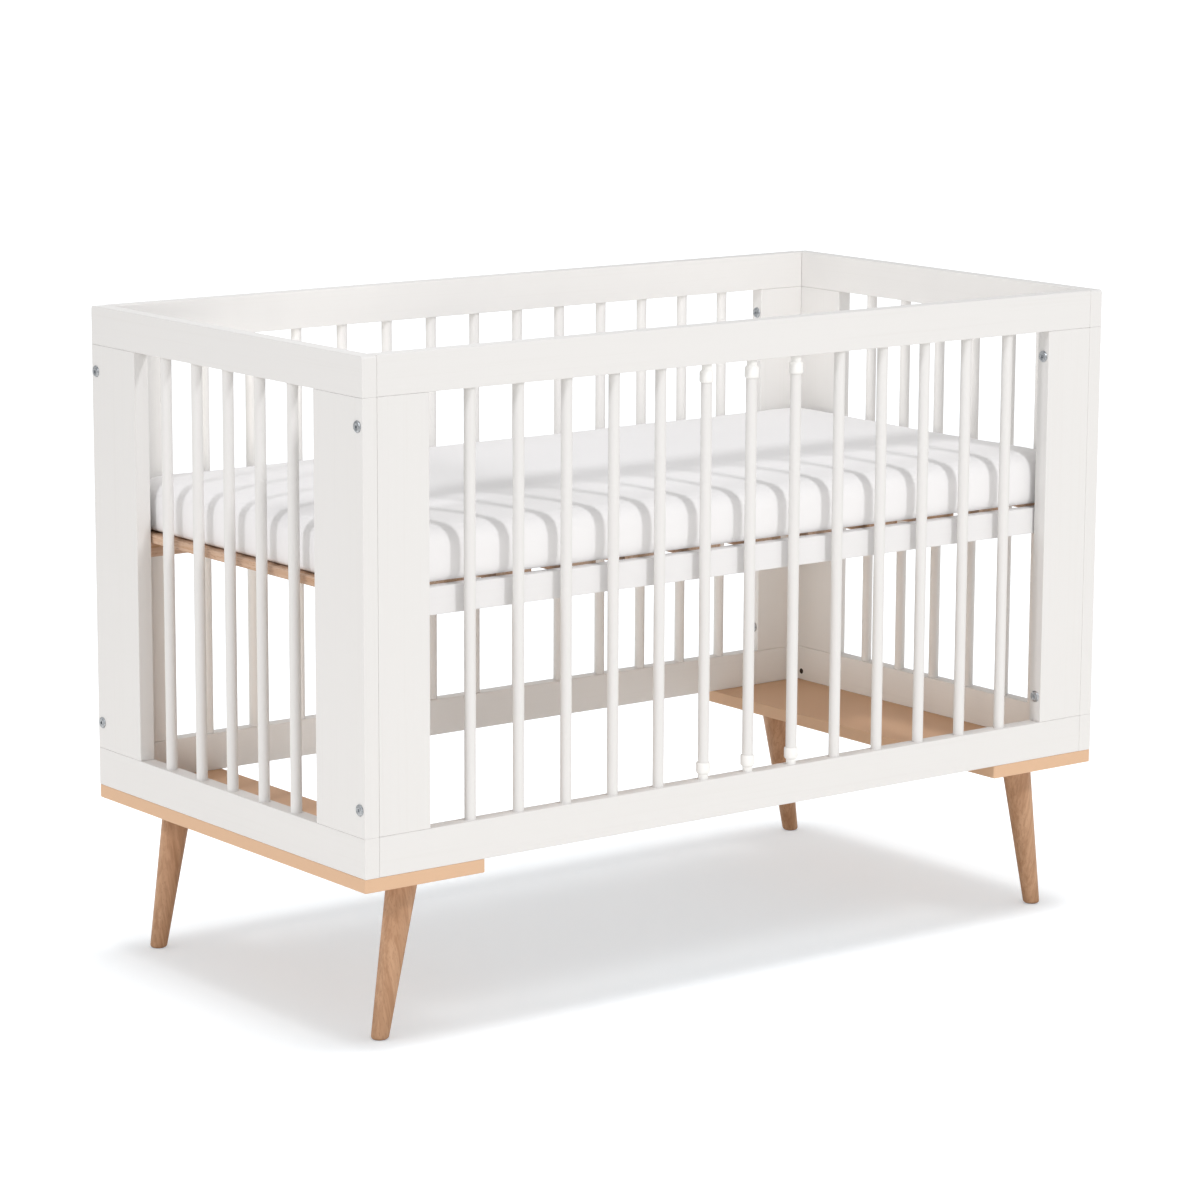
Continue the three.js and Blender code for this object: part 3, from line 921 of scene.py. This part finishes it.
@dataclass
class SidePanel:
    """A long side: two rails, two stiles and the bars between them."""

    shop: Workshop
    face: Face
    bars: int = 13
    pitch: float = 0.076
    bar_radius: float = 0.0075
    housing: float = 0.012
    neck_radius: float = 0.00695
    spring_well: float = 0.03
    rung_seat: float = 0.006

    def build(self) -> None:
        """Makes and hands over the panel's pieces."""
        side = self.face.word
        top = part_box(f"side_top_rail_{side}")
        comb_node = f"side_bottom_rail_with_bars_{side}"
        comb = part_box(comb_node)
        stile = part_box(f"side_stile_{side}_left")
        rail_top = stile[0].z - HAIRLINE
        upper = Board(*top, Axis.Y).built(f"top_rail_{side}", LACQUER[Axis.X])
        low, high = comb[0], Vector((comb[1].x, top[1].y, rail_top))
        lower = Board(Vector((low.x, top[0].y, low.z)), high, Axis.Y)
        bottom = lower.built(f"bottom_rail_{side}", LACQUER[Axis.X])
        y = (top[0].y + top[1].y) / 2
        if self.face is Face.FRONT:
            places = [Vector((place.value * self.pitch, y, 0.0)) for place in RungPlace]
            well, seat = top[0].z + self.spring_well, rail_top - self.rung_seat
            drilled(upper, [self._hole(p, top[0].z - OVERRUN, well) for p in places])
            drilled(bottom, [self._hole(p, seat, rail_top + OVERRUN) for p in places])
        joined_in(upper, f"side_top_rail_{side}")
        joined_in(bottom, comb_node)
        rise = top[0].z - rail_top + 2 * self.housing
        first = Vector((-(self.bars // 2) * self.pitch, y, rail_top - self.housing))
        clear = 1.5 * self.pitch if self.face is Face.FRONT else -1.0
        pitch = (self.pitch, 0.0, 0.0)
        sizes = bar_sizes(self.bar_radius, rise, first, self.bars, pitch, clear)
        bars = self.shop.bars.grown(f"bars_{side}", LACQUER[Axis.Z], sizes)
        handed(bars, "frame", [comb_node])
        for end in End:
            word = end.word
            node = f"side_stile_{side}_{word}"
            stile = Board(*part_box(node), Axis.Y).built(f"upright_{side}_{word}", LACQUER[Axis.Z])
            joined_in(stile, node)

    def _hole(self, place: Vector, low: float, high: float) -> bpy.types.Object:
        """A drill for a rung's neck or its spring."""
        start, stop = (Vector((place.x, place.y, level)) for level in (low, high))
        return rod(start, stop, self.neck_radius)


@dataclass
class EndPanel:
    """A short end: rails right across it, broad stiles, bars and holes for the base's pins."""

    shop: Workshop
    end: End
    bars: int = 5
    pitch: float = 0.076
    bar_radius: float = 0.0075
    housing: float = 0.012
    hole_radius: float = 0.0042
    hole_depth: float = 0.012
    middle_share: float = 0.6  # the middle holes, from the lowest to the highest
    drop_clear: float = 0.0021  # between the base at its lowest and the leg boards
    top_corner: float = 0.0045

    def build(self) -> None:
        """Makes and hands over the panel's pieces."""
        end = self.end.word
        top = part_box(f"end_top_rail_{end}")
        comb_node = f"end_bottom_rail_with_bars_{end}"
        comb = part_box(comb_node)
        rail_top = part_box(f"end_stile_front_{end}")[0].z - HAIRLINE
        corners = (SEAM_CORNER, SEAM_CORNER, self.top_corner, self.top_corner)
        upper = Board(*top, Axis.X, corners=corners).built(f"top_rail_{end}", LACQUER[Axis.Y])
        joined_in(upper, f"end_top_rail_{end}")

        low = Vector((top[0].x, comb[0].y, comb[0].z))
        high = Vector((top[1].x, comb[1].y, rail_top))
        bottom = Board(low, high, Axis.X).built(f"bottom_rail_{end}", LACQUER[Axis.Y])
        pin_y, pin_z = self._pin_place()
        base_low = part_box("base_rail_front")[0].z
        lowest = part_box(f"leg_board_{end}")[1].z + self.drop_clear + (pin_z - base_low)
        drilled(bottom, [self._hole(sign * pin_y, lowest) for sign in (-1, 1)])
        joined_in(bottom, comb_node)

        x = (top[0].x + top[1].x) / 2
        rise = top[0].z - rail_top + 2 * self.housing
        first = Vector((x, -(self.bars // 2) * self.pitch, rail_top - self.housing))
        sizes = bar_sizes(self.bar_radius, rise, first, self.bars, (0.0, self.pitch, 0.0))
        bars = self.shop.bars.grown(f"bars_{end}", LACQUER[Axis.Z], sizes)
        handed(bars, "frame", [comb_node])

        levels = (pin_z, lowest + self.middle_share * (pin_z - lowest))
        for face in Face:
            word = face.word
            node = f"end_stile_{word}_{end}"
            stile = Board(*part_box(node), Axis.X).built(f"broad_stile_{word}_{end}", LACQUER[Axis.Z])
            drilled(stile, [self._hole(face.value * pin_y, level) for level in levels])
            joined_in(stile, node)

    def _pin_place(self) -> tuple[float, float]:
        """How far a support pin is from the middle, and its height."""
        low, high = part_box(f"support_pin_rear_{self.end.word}")
        return (low.y + high.y) / 2, (low.z + high.z) / 2

    def _hole(self, y: float, z: float) -> bpy.types.Object:
        """A drill for a pin hole in the panel's inner face."""
        low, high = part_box(f"end_top_rail_{self.end.word}")
        inner = min(abs(low.x), abs(high.x))
        start = Vector((self.end.value * (inner - OVERRUN), y, z))
        run = Vector((self.end.value * (self.hole_depth + OVERRUN), 0, 0))
        return rod(start, start + run, self.hole_radius)


@dataclass
class LegUnit:
    """A beech board across one end, on two splayed legs."""

    shop: Workshop
    end: End
    corner: float = 0.003
    easing: float = 0.0012
    inset: float = 0.094
    top_radius: float = 0.0205
    foot_radius: float = 0.0115
    rim: float = 0.0042

    def build(self) -> None:
        """Makes and hands over the board and its legs."""
        end = self.end.word
        low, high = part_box(f"leg_board_{end}")
        board = Board(low, high, Axis.Z, easing=self.easing, corners=(self.corner,) * 4)
        plank = board.built(f"board_{end}", BOARD_BEECH)
        handed(polished(plank), "frame", [f"leg_board_{end}"])
        reach = max(abs(low.x), abs(high.x)) - self.inset
        for face in Face:
            node = f"leg_{face.word}_{end}"
            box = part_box(node)
            foot_x = self.end.value * (reach + low.z * math.tan(LEG_LEAN))
            foot = (foot_x, (box[0].y + box[1].y) / 2, 0.0)
            sizes = {
                "Height": box[1].z,
                "Lean": -self.end.value * LEG_LEAN,
                "Top": self.top_radius,
                "Foot": self.foot_radius,
                "Rim": self.rim,
            }
            name = f"turned_leg_{face.word}_{end}"
            leg = self.shop.legs.grown(name, LEG_BEECH[self.end], sizes, [foot])
            leg.data.shade_smooth()
            leg.data.set_sharp_from_angle(angle=GROWN_CREASE)
            handed(leg, "frame", [node])


@dataclass
class Fasteners:
    """The bolts and sleeve nuts of the four corners, and the base's support pins."""

    shop: Workshop
    head_radius: float = 0.00775
    nut_radius: float = 0.008
    head: float = 0.002
    key: float = 0.0024  # across the hexagon's corners, half
    socket: float = 0.0016
    shank_radius: float = 0.003
    sleeve_radius: float = 0.0045

    def build(self) -> None:
        """Makes and hands over one row of each."""
        self._row("bolt", "connector_bolt", self.head_radius, self.shank_radius)
        self._row("nut", "sleeve_nut", self.nut_radius, self.sleeve_radius)
        self._pins()

    def _row(self, word: str, stem: str, radius: float, shank: float) -> None:
        """Sets a headed piece at each of eight places.

        Args:
            word: What the row is called.
            stem: How its CAD nodes' names start.
            radius: The head's radius.
            shank: The shank's radius.
        """
        corners = [f"{f.word}_{e.word}" for e in End for f in Face]
        nodes = [f"{stem}_{corner}_{level}" for corner in corners for level in ("upper", "lower")]
        boxes = [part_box(node) for node in nodes]
        length = boxes[0][1].x - boxes[0][0].x - self.head
        outwards = 1.0 if word == "bolt" else -1.0
        pattern = self._headed(radius, shank, length, outwards)
        points = []
        for low, high in boxes:
            sign = 1.0 if low.x > 0 else -1.0
            faced = max(abs(low.x), abs(high.x)) if word == "bolt" else min(abs(low.x), abs(high.x))
            x = sign * (faced - outwards * self.head)
            points.append((x, (low.y + high.y) / 2, (low.z + high.z) / 2))
        sizes = {"Pattern": pattern, "Turn": math.pi}
        row = self.shop.settings.grown(f"corner_{word}s", ZINC, sizes, points)
        discarded(pattern)
        handed(row, "frame", nodes)

    def _headed(self, radius: float, shank: float, length: float, outwards: float) -> bpy.types.Object:
        """A flat head with a softened rim and a hexagon socket, on its shank."""
        h = self.head
        profile = [
            (shank * 0.8, -length),
            (shank, -length + shank * 0.2),
            (shank, 0.0),
            (radius - 0.0002, 0.0),
            (radius, 0.0002),
            (radius, 0.3 * h),
            (radius - 0.0004, 0.62 * h),
            (radius - 0.0011, 0.88 * h),
            (radius - 0.0020, h),
            (self.key * 1.35, h),
            (self.key * 1.2, h - 0.0001),
        ]
        place = Matrix.Rotation(math.pi / 2 * outwards, 4, "Y")
        made = turned("headed", profile, ZINC, place, 40)
        bottom, top = h - self.socket, h + OVERRUN
        hexagon = turned("key", [(self.key, bottom), (self.key, top)], ZINC, place, 6)
        drilled(made, [hexagon])
        made.data.set_sharp_from_angle(angle=TURNED_CREASE)
        return made

    def _pins(self) -> None:
        """Sets the four steel pins that carry the base."""
        nodes = [f"support_pin_{f.word}_{e.word}" for e in End for f in Face]
        boxes = [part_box(node) for node in nodes]
        long = boxes[0][1].x - boxes[0][0].x
        radius = (boxes[0][1].z - boxes[0][0].z) / 2
        soft = 0.0008
        profile = [(radius - soft, 0.0), (radius, soft), (radius, long - soft), (radius - soft, long)]
        pin = turned("pin", profile, ZINC, Matrix.Rotation(math.pi / 2, 4, "Y"))
        points = [
            (math.copysign(min(abs(a.x), abs(b.x)), a.x), (a.y + b.y) / 2, (a.z + b.z) / 2)
            for a, b in boxes
        ]
        row = self.shop.settings.grown("support_pins", ZINC, {"Pattern": pin, "Turn": math.pi}, points)
        discarded(pin)
        handed(row, "frame", nodes)


@dataclass
class Rung:
    """A bar that can be sprung up and out of the front side, with its caps and spring."""

    shop: Workshop
    place: RungPlace
    neck_radius: float = 0.00675
    collar_radius: float = 0.0095
    collar_length: float = 0.016
    mouth_depth: float = 0.008
    wire: float = 0.0006
    coil_turns: float = 5.0

    def build(self) -> None:
        """Makes and hands over the rung."""
        which = self.place.word
        body = f"rung_{which}"
        low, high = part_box(f"rung_bar_{which}")
        x, y = (low.x + high.x) / 2, (low.y + high.y) / 2
        sizes = bar_sizes((high.x - low.x) / 2, high.z - low.z, Vector((x, y, low.z)))
        bar = self.shop.bars.grown(f"loose_bar_{which}", LACQUER[Axis.Z], sizes)
        handed(bar, body, [f"rung_bar_{which}"])
        for end_word, flip in (("lower", 0.0), ("upper", math.pi)):
            node = f"rung_cap_{end_word}_{which}"
            cap_low, cap_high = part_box(node)
            tip = cap_low.z if end_word == "lower" else cap_high.z
            place = Matrix.Translation((x, y, tip)) @ Matrix.Rotation(flip, 4, "X")
            bore = (high.x - low.x) / 2 + HAIRLINE
            cap = self._cap(f"cap_{end_word}_{which}", cap_high.z - cap_low.z, bore, place)
            handed(cap, body, [node])
        self._spring(which, x, y)

    def _cap(self, name: str, long: float, bore: float, place: Matrix) -> bpy.types.Object:
        """A moulded cap: neck, shoulder and collar, from its neck's tip up to its mouth."""
        collar, neck = self.collar_radius, self.neck_radius
        shoulder = long - self.collar_length
        profile = [
            (neck - 0.0009, 0.0),
            (neck - 0.0003, 0.0003),
            (neck, 0.0009),
            (neck, shoulder - 0.0004),
            (neck + 0.0003, shoulder),
            (collar - 0.0014, shoulder + 0.0009),
            (collar - 0.0005, shoulder + 0.0018),
            (collar, shoulder + 0.0034),
            (collar, long - 0.0014),
            (collar - 0.0004, long - 0.0005),
            (collar - 0.0011, long),
            (bore, long - 0.0001),
            (bore, long - self.mouth_depth),
        ]
        return turned(name, profile, CAP_WHITE, place, 40)

    def _spring(self, which: str, x: float, y: float) -> None:
        """The coil spring in its well, grown once at the length of its CAD node."""
        low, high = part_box(f"rung_spring_{which}")
        sizes = {
            "Wire": self.wire,
            "Height": high.z - low.z - 2 * self.wire,
            "Radius": (high.x - low.x) / 2 - self.wire,
            "Turns": self.coil_turns,
        }
        foot = (x, y, low.z + self.wire)
        coil = self.shop.coils.grown(f"coil_{which}", SPRING_STEEL, sizes, [foot])
        coil.data.shade_smooth()
        coil.data.set_sharp_from_angle(angle=GROWN_CREASE)
        handed(coil, "frame", [f"rung_spring_{which}"])
        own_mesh(coil)


@dataclass
class Base:
    """The lift-out base: two notched white rails, and slats on cleats between them."""

    shop: Workshop
    slat_width: float = 0.056
    slat_pitch: float = 0.104
    slat_thickness: float = 0.012
    easing: float = 0.0018
    cleat: float = 0.020
    screw_inset: float = 0.0115
    screw_radius: float = 0.0037
    screw_turn: float = 0.9
    recess: Vector = Vector((0.0019, 0.0004, 0.0014))
    pin_play: float = 0.0003
    notch_spare: float = 0.002

    def build(self) -> None:
        """Makes and hands over the base's pieces."""
        for face in Face:
            self._rail(face)
        low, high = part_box("slat_grid")
        count = round((high.x - low.x - self.slat_width) / self.slat_pitch) + 1
        pitch = (high.x - low.x - self.slat_width) / (count - 1)
        middle = high.z - self.slat_thickness / 2
        sizes = {
            "Width": self.slat_width,
            "Thickness": self.slat_thickness,
            "Easing": self.easing,
            "From": Vector((0.0, low.y, 0.0)),
            "To": Vector((0.0, high.y, 0.0)),
            "Count": count,
            "Start": Vector((low.x + self.slat_width / 2, 0.0, middle)),
            "Pitch": Vector((pitch, 0.0, 0.0)),
        }
        slats = self.shop.laths.grown("slats", SLAT_BEECH, sizes)
        slats.data.shade_smooth()
        handed(polished(slats), "base", ["slat_grid"])
        under = high.z - self.slat_thickness
        for face in Face:
            sign = face.value
            edge, inner = sign * high.y, sign * (high.y - self.cleat)
            a = Vector((low.x, min(edge, inner), low.z))
            b = Vector((high.x, max(edge, inner), under))
            cleat = Board(a, b, Axis.Y).built(f"cleat_{face.word}", CLEAT_BEECH)
            handed(polished(cleat), "base", ["slat_grid"])
        self._screws(low, high, count, pitch)

    def _rail(self, face: Face) -> None:
        """One white rail, with a notch at each end that drops over a pin."""
        word = face.word
        node = f"base_rail_{word}"
        low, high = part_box(node)
        rail = Board(low, high, Axis.Y).built(f"carrier_{word}", BASE_LACQUER)
        y = (low.y + high.y) / 2
        cutters = []
        for end in End:
            pin_low, pin_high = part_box(f"support_pin_{word}_{end.word}")
            z = (pin_low.z + pin_high.z) / 2
            radius = (pin_high.z - pin_low.z) / 2 + self.pin_play
            depth = min(abs(pin_low.x), abs(pin_high.x)) - self.notch_spare
            a = Vector((end.value * depth, y, z))
            b = Vector((end.value * (high.x + OVERRUN), y, z))
            cutters.append(rod(a, b, radius))
            x0, x1 = sorted((a.x, b.x))
            slot = Board(
                Vector((x0, y - radius, low.z - 2 * OVERRUN)),
                Vector((x1, y + radius, z)),
                Axis.Z,
                easing=0.0002,
                corners=(0.0003,) * 4,
                steps=1,
            )
            # the notch's walls take the painted shade of a hole
            cutters.append(slot.built("slot", BORE_SHADE))
        drilled(rail, cutters)
        handed(polished(rail), "base", [node])

    def _screws(self, low: Vector, high: Vector, count: int, pitch: float) -> None:
        """Countersunk screws, two through each slat into its cleats."""
        radius = self.screw_radius
        profile = [
            (radius * 0.45, -0.003),
            (radius * 0.98, -0.0004),
            (radius, -0.0001),
            (radius * 0.96, 0.00015),
            (radius * 0.3, 0.0002),
        ]
        pattern = turned("screw", profile, ZINC, None, 20)
        arms = []
        for turn in (0.0, math.pi / 2):
            top = Vector((self.recess.x, self.recess.y, OVERRUN))
            arm = Board(-self.recess, top, Axis.Z, easing=0.0001, corners=(0.00015,) * 4, steps=1)
            made = arm.built("arm", ZINC)
            made.data.transform(Matrix.Rotation(turn, 4, "Z"))
            arms.append(made)
        drilled(pattern, arms)
        y = high.y - self.screw_inset
        start = low.x + self.slat_width / 2
        level = high.z + HAIRLINE / 2
        points = [(start + pitch * i, sign * y, level) for i in range(count) for sign in (-1, 1)]
        sizes = {"Pattern": pattern, "Turn": self.screw_turn}
        screws = self.shop.settings.grown("slat_screws", ZINC, sizes, points)
        discarded(pattern)
        screws.data.set_sharp_from_angle(angle=TURNED_CREASE)
        handed(screws, "base")


@dataclass
class Mattress:
    """A foam mattress in a white cover, swelled a little by a cloth simulation."""

    top_edge: float = 0.023
    low_edge: float = 0.008
    corner: float = 0.045
    draw_in: float = 0.0015
    voxel: float = 0.009
    pressure: float = 4.0
    frames: int = 20
    most_swell: float = 0.004
    edge_steps: int = 8
    clearance: float = 0.0025
    sag: float = 0.0040  # of the lower edge, past the slats' ends
    slat_end: float = 0.2825
    sag_run: float = 0.004
    wave: float = 0.0014
    ripple: float = 0.0005

    def build(self) -> None:
        """Makes and hands over the mattress."""
        low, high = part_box("mattress")
        pad = self._blank(low, high)
        start = self._points(pad)
        self._pump(pad)
        moved = self._points(pad)
        self._settle(pad, start, moved, low, high)
        smooth = pad.modifiers.new("smooth", "SUBSURF")
        smooth.levels = smooth.render_levels = 1
        settled(pad)
        pad.data.shade_smooth()
        pad.data.materials.clear()
        pad.data.materials.append(COVER.material())
        handed(pad, "mattress", ["mattress"])

    def _blank(self, low: Vector, high: Vector) -> bpy.types.Object:
        """A slab with a full upper edge and a tight lower one, in an even mesh."""
        size = high - low
        width, depth = size.x - 2 * self.draw_in, size.y - 2 * self.draw_in
        rings = slab_rings(low.z, high.z, (self.low_edge, self.top_edge), self.edge_steps)
        points = [
            (x, y, level)
            for inset, level in rings
            for x, y in rounded_outline(width, depth, (self.corner,) * 4, inset, self.edge_steps)
        ]
        faces = lofted(len(rings), 4 * (self.edge_steps + 1))
        pad = meshed("mattress_pad", points, faces, COVER)
        even = pad.modifiers.new("even", "REMESH")
        even.mode = "VOXEL"
        even.voxel_size = self.voxel
        return settled(pad)

    @staticmethod
    def _points(pad: bpy.types.Object) -> np.ndarray:
        """The pad's points, one row each."""
        points = np.empty(len(pad.data.vertices) * 3, np.float32)
        pad.data.vertices.foreach_get("co", points)
        return points.reshape(-1, 3).astype(float)

    def _pump(self, pad: bpy.types.Object) -> None:
        """Runs the cloth simulation and keeps its last frame."""
        cloth = pad.modifiers.new("cloth", "CLOTH")
        cloth.settings.quality = 5
        cloth.settings.mass = 0.3
        cloth.settings.use_pressure = True
        cloth.settings.uniform_pressure_force = self.pressure
        cloth.settings.effector_weights.gravity = 0.0
        cloth.point_cache.frame_start = 1
        cloth.point_cache.frame_end = self.frames
        for step in range(1, self.frames + 1):
            bpy.context.scene.frame_set(step)
        settled(pad)
        bpy.context.scene.frame_set(1)

    def _settle(
        self, pad: bpy.types.Object, start: np.ndarray, moved: np.ndarray, low: Vector, high: Vector
    ) -> None:
        """Limits the swelling, and rests the pad flat on the slats and clear of the panels.

        Args:
            pad: The mattress.
            start: Its points before the simulation.
            moved: Its points after it.
            low: The lowest corner of its space.
            high: The highest corner of its space.
        """
        shift = moved - start
        far = np.linalg.norm(shift, axis=1, keepdims=True)
        kept = self.most_swell * (1.0 - np.exp(-far / self.most_swell))
        points = start + shift * (kept / np.maximum(far, 1e-9))
        for point in points:
            rise = noise.noise(Vector((point[0] * 7.0, point[1] * 7.0, 3.7)))
            fine = noise.noise(Vector((point[0] * 23.0, point[1] * 31.0, 9.1)))
            share = min(1.0, max(0.0, (point[2] - low.z) / (high.z - low.z)))
            point[2] += (self.wave * rise + self.ripple * fine) * share
        reach_x, reach_y = high.x + self.clearance, high.y + self.clearance
        points[:, 0] = np.clip(points[:, 0], -reach_x, reach_x)
        points[:, 1] = np.clip(points[:, 1], -reach_y, reach_y)
        drop = self.sag * np.clip((np.abs(points[:, 1]) - self.slat_end) / self.sag_run, 0.0, 1.0)
        level = points[:, 2]
        level = np.where(level < low.z + self.low_edge, level - drop, level)
        points[:, 2] = np.maximum(level, low.z + HAIRLINE - drop)
        pad.data.vertices.foreach_set("co", points.astype(np.float32).ravel())
        pad.data.update()


# --------------------------------------------------------------------- studio


@dataclass(frozen=True)
class SoftBox:
    """A square soft light that points at the crib."""

    name: str
    place: Vector
    size: float
    power: float
    tint: Colour

    def hang(self, aim: Vector) -> bpy.types.Object:
        """Hangs the light and turns it to its aim."""
        lamp = bpy.data.lights.new(self.name, "AREA")
        lamp.shape = "SQUARE"
        lamp.size = self.size
        lamp.energy = self.power
        lamp.color = self.tint
        made = bpy.data.objects.new(self.name, lamp)
        made.location = self.place
        made.rotation_euler = (aim - self.place).to_track_quat("-Z", "Y").to_euler()
        made.visible_camera = False
        bpy.context.scene.collection.objects.link(made)
        return made


@dataclass
class Studio:
    """A plain white floor and surround, soft lights and the camera."""

    ambient: float = 0.66
    shadow_lift: Colour = (0.28, 0.315, 0.34)
    floor_radius: float = 60.0
    rear_pieces: tuple[str, ...] = ("top_rail_rear", "bottom_rail_rear", "bars_rear", "upright_rear")
    right_pieces: tuple[str, ...] = (
        "top_rail_right",
        "bottom_rail_right",
        "bars_right",
        "broad_stile_front_right",
        "broad_stile_rear_right",
    )
    floor_seen: Colour = (0.79, 0.80, 0.81)
    floor_bounce: Colour = (0.84, 0.83, 0.815)
    eye: Vector = Vector((-3.4322, -4.4903, 1.5431))
    yaw: float = 0.6512
    pitch: float = 0.1883
    roll: float = 0.0043
    lens: float = 124.03

    def build(self) -> None:
        """Sets the stage."""
        floor = self._floor()
        self._surround()
        aim = Vector((0.0, 0.0, 0.55))
        lights = [
            SoftBox("front_light", Vector((0.5, -3.3, 3.4)), 0.45, 58.0, (0.985, 0.985, 1.0)),
            SoftBox("left_light", Vector((-3.9, -0.9, 2.6)), 0.38, 39.0, (0.96, 0.96, 1.0)),
            SoftBox("front_fill", Vector((-0.4, -4.6, 0.7)), 2.2, 3.0, (1.0, 0.99, 0.985)),
            SoftBox("rear_light", Vector((1.6, 4.0, 2.8)), 2.4, 16.0, (1.0, 0.99, 0.98)),
        ]
        crib = [made for made in bpy.data.objects if made.type == "MESH" and made is not floor]
        for light in lights:
            self._only_on(light.hang(aim), crib)
        overhead = SoftBox("floor_light", Vector((0.15, -0.1, 4.8)), 2.6, 215.0, (1.0, 1.0, 1.0))
        self._only_on(overhead.hang(Vector((0.0, 0.0, 0.0))), [floor])
        warm = (1.0, 0.965, 0.9)
        rear = SoftBox("rear_fill", Vector((-3.0, -2.6, 0.55)), 1.2, 72.0, warm)
        right = SoftBox("right_fill", Vector((-3.0, 0.0, 0.7)), 0.5, 34.0, warm)
        for fill, names in ((rear, self.rear_pieces), (right, self.right_pieces)):
            far = [made for made in crib if made.name.startswith(names)]
            self._only_on(fill.hang(Vector((0.3, 0.1, 0.5))), far)
        self._camera()
        bpy.context.scene.view_settings.view_transform = "Standard"

    def _floor(self) -> bpy.types.Object:
        """A wide disc that is white in the light, and grey only in shadow."""
        sides = 96
        turns = [2 * math.pi * i / sides for i in range(sides)]
        reach = self.floor_radius
        rim = [(reach * math.cos(a), reach * math.sin(a), 0.0) for a in turns]
        floor = meshed("floor", rim, [range(sides)])
        material = bpy.data.materials.new("studio_floor")
        material.use_nodes = True
        graph = Graph(material.node_tree)
        graph.tree.nodes.clear()
        seen = Signal(graph, graph.node("ShaderNodeLightPath").outputs["Is Camera Ray"])
        x, y, _ = graph.split(graph.node("ShaderNodeTexCoord").outputs["Object"])
        far = graph.smooth(graph.math("SQRT", x * x + y * y), 1.3, 2.8)
        tones = {0: seen, 6: self.floor_bounce, 7: self.floor_seen}
        tone = graph.node("ShaderNodeMix", {"data_type": "RGBA"}, tones).outputs[2]
        matt = graph.node("ShaderNodeBsdfDiffuse", None, {"Color": tone})
        glow = graph.node("ShaderNodeEmission", None, {"Strength": 1.0})
        lit = {0: far * seen, 1: matt.outputs[0], 2: glow.outputs[0]}
        faded = graph.node("ShaderNodeMixShader", None, lit)
        lit_up = {"Color": self.shadow_lift, "Strength": seen}
        lift = graph.node("ShaderNodeEmission", None, lit_up)
        both = graph.node("ShaderNodeAddShader", None, {0: faded.outputs[0], 1: lift.outputs[0]})
        graph.node("ShaderNodeOutputMaterial", None, {"Surface": both.outputs[0]})
        floor.data.materials.append(material)
        return floor

    @staticmethod
    def _only_on(lamp: bpy.types.Object, receivers: Iterable[bpy.types.Object]) -> None:
        """Keeps a light on some objects, which the rest still shades."""
        group = bpy.data.collections.new(f"{lamp.name}_on")
        for receiver in receivers:
            group.objects.link(receiver)
        lamp.light_linking.receiver_collection = group

    def _surround(self) -> None:
        """A white surround whose light is weaker than it looks."""
        world = bpy.data.worlds.new("surround")
        world.use_nodes = True
        graph = Graph(world.node_tree)
        graph.tree.nodes.clear()
        seen = Signal(graph, graph.node("ShaderNodeLightPath").outputs["Is Camera Ray"])
        strength = self.ambient + (1.0 - self.ambient) * seen
        sky = {"Color": (1.0, 1.0, 1.0), "Strength": strength}
        background = graph.node("ShaderNodeBackground", None, sky)
        graph.node("ShaderNodeOutputWorld", None, {"Surface": background.outputs[0]})
        bpy.context.scene.world = world

    def _camera(self) -> None:
        """A long lens, ahead of the crib to its left and above it, looking slightly down."""
        view = bpy.data.cameras.new("camera")
        view.lens = self.lens
        view.sensor_width = 36.0
        view.clip_end = 200.0
        camera = bpy.data.objects.new("camera", view)
        flat = math.cos(self.pitch)
        ahead = Vector((math.sin(self.yaw) * flat, math.cos(self.yaw) * flat, -math.sin(self.pitch)))
        right = Vector((math.cos(self.yaw), -math.sin(self.yaw), 0.0))
        up = right.cross(ahead)
        side = right * math.cos(self.roll) + up * math.sin(self.roll)
        top = up * math.cos(self.roll) - right * math.sin(self.roll)
        turned_to = Matrix((side, top, -ahead)).transposed().to_4x4()
        camera.matrix_world = Matrix.Translation(self.eye) @ turned_to
        bpy.context.scene.collection.objects.link(camera)
        bpy.context.scene.camera = camera


def main() -> None:
    """Builds the crib, part by part, and then the studio."""
    logging.basicConfig(level=logging.INFO, format="%(message)s")
    shop = Workshop(bar_recipe(), lath_recipe(), setting_recipe(), coil_recipe(), leg_recipe())
    for face in Face:
        SidePanel(shop, face).build()
    for end in End:
        EndPanel(shop, end).build()
        LegUnit(shop, end).build()
    Fasteners(shop).build()
    for place in RungPlace:
        Rung(shop, place).build()
    Base(shop).build()
    Mattress().build()
    Studio().build()


if __name__ == "__main__":
    main()
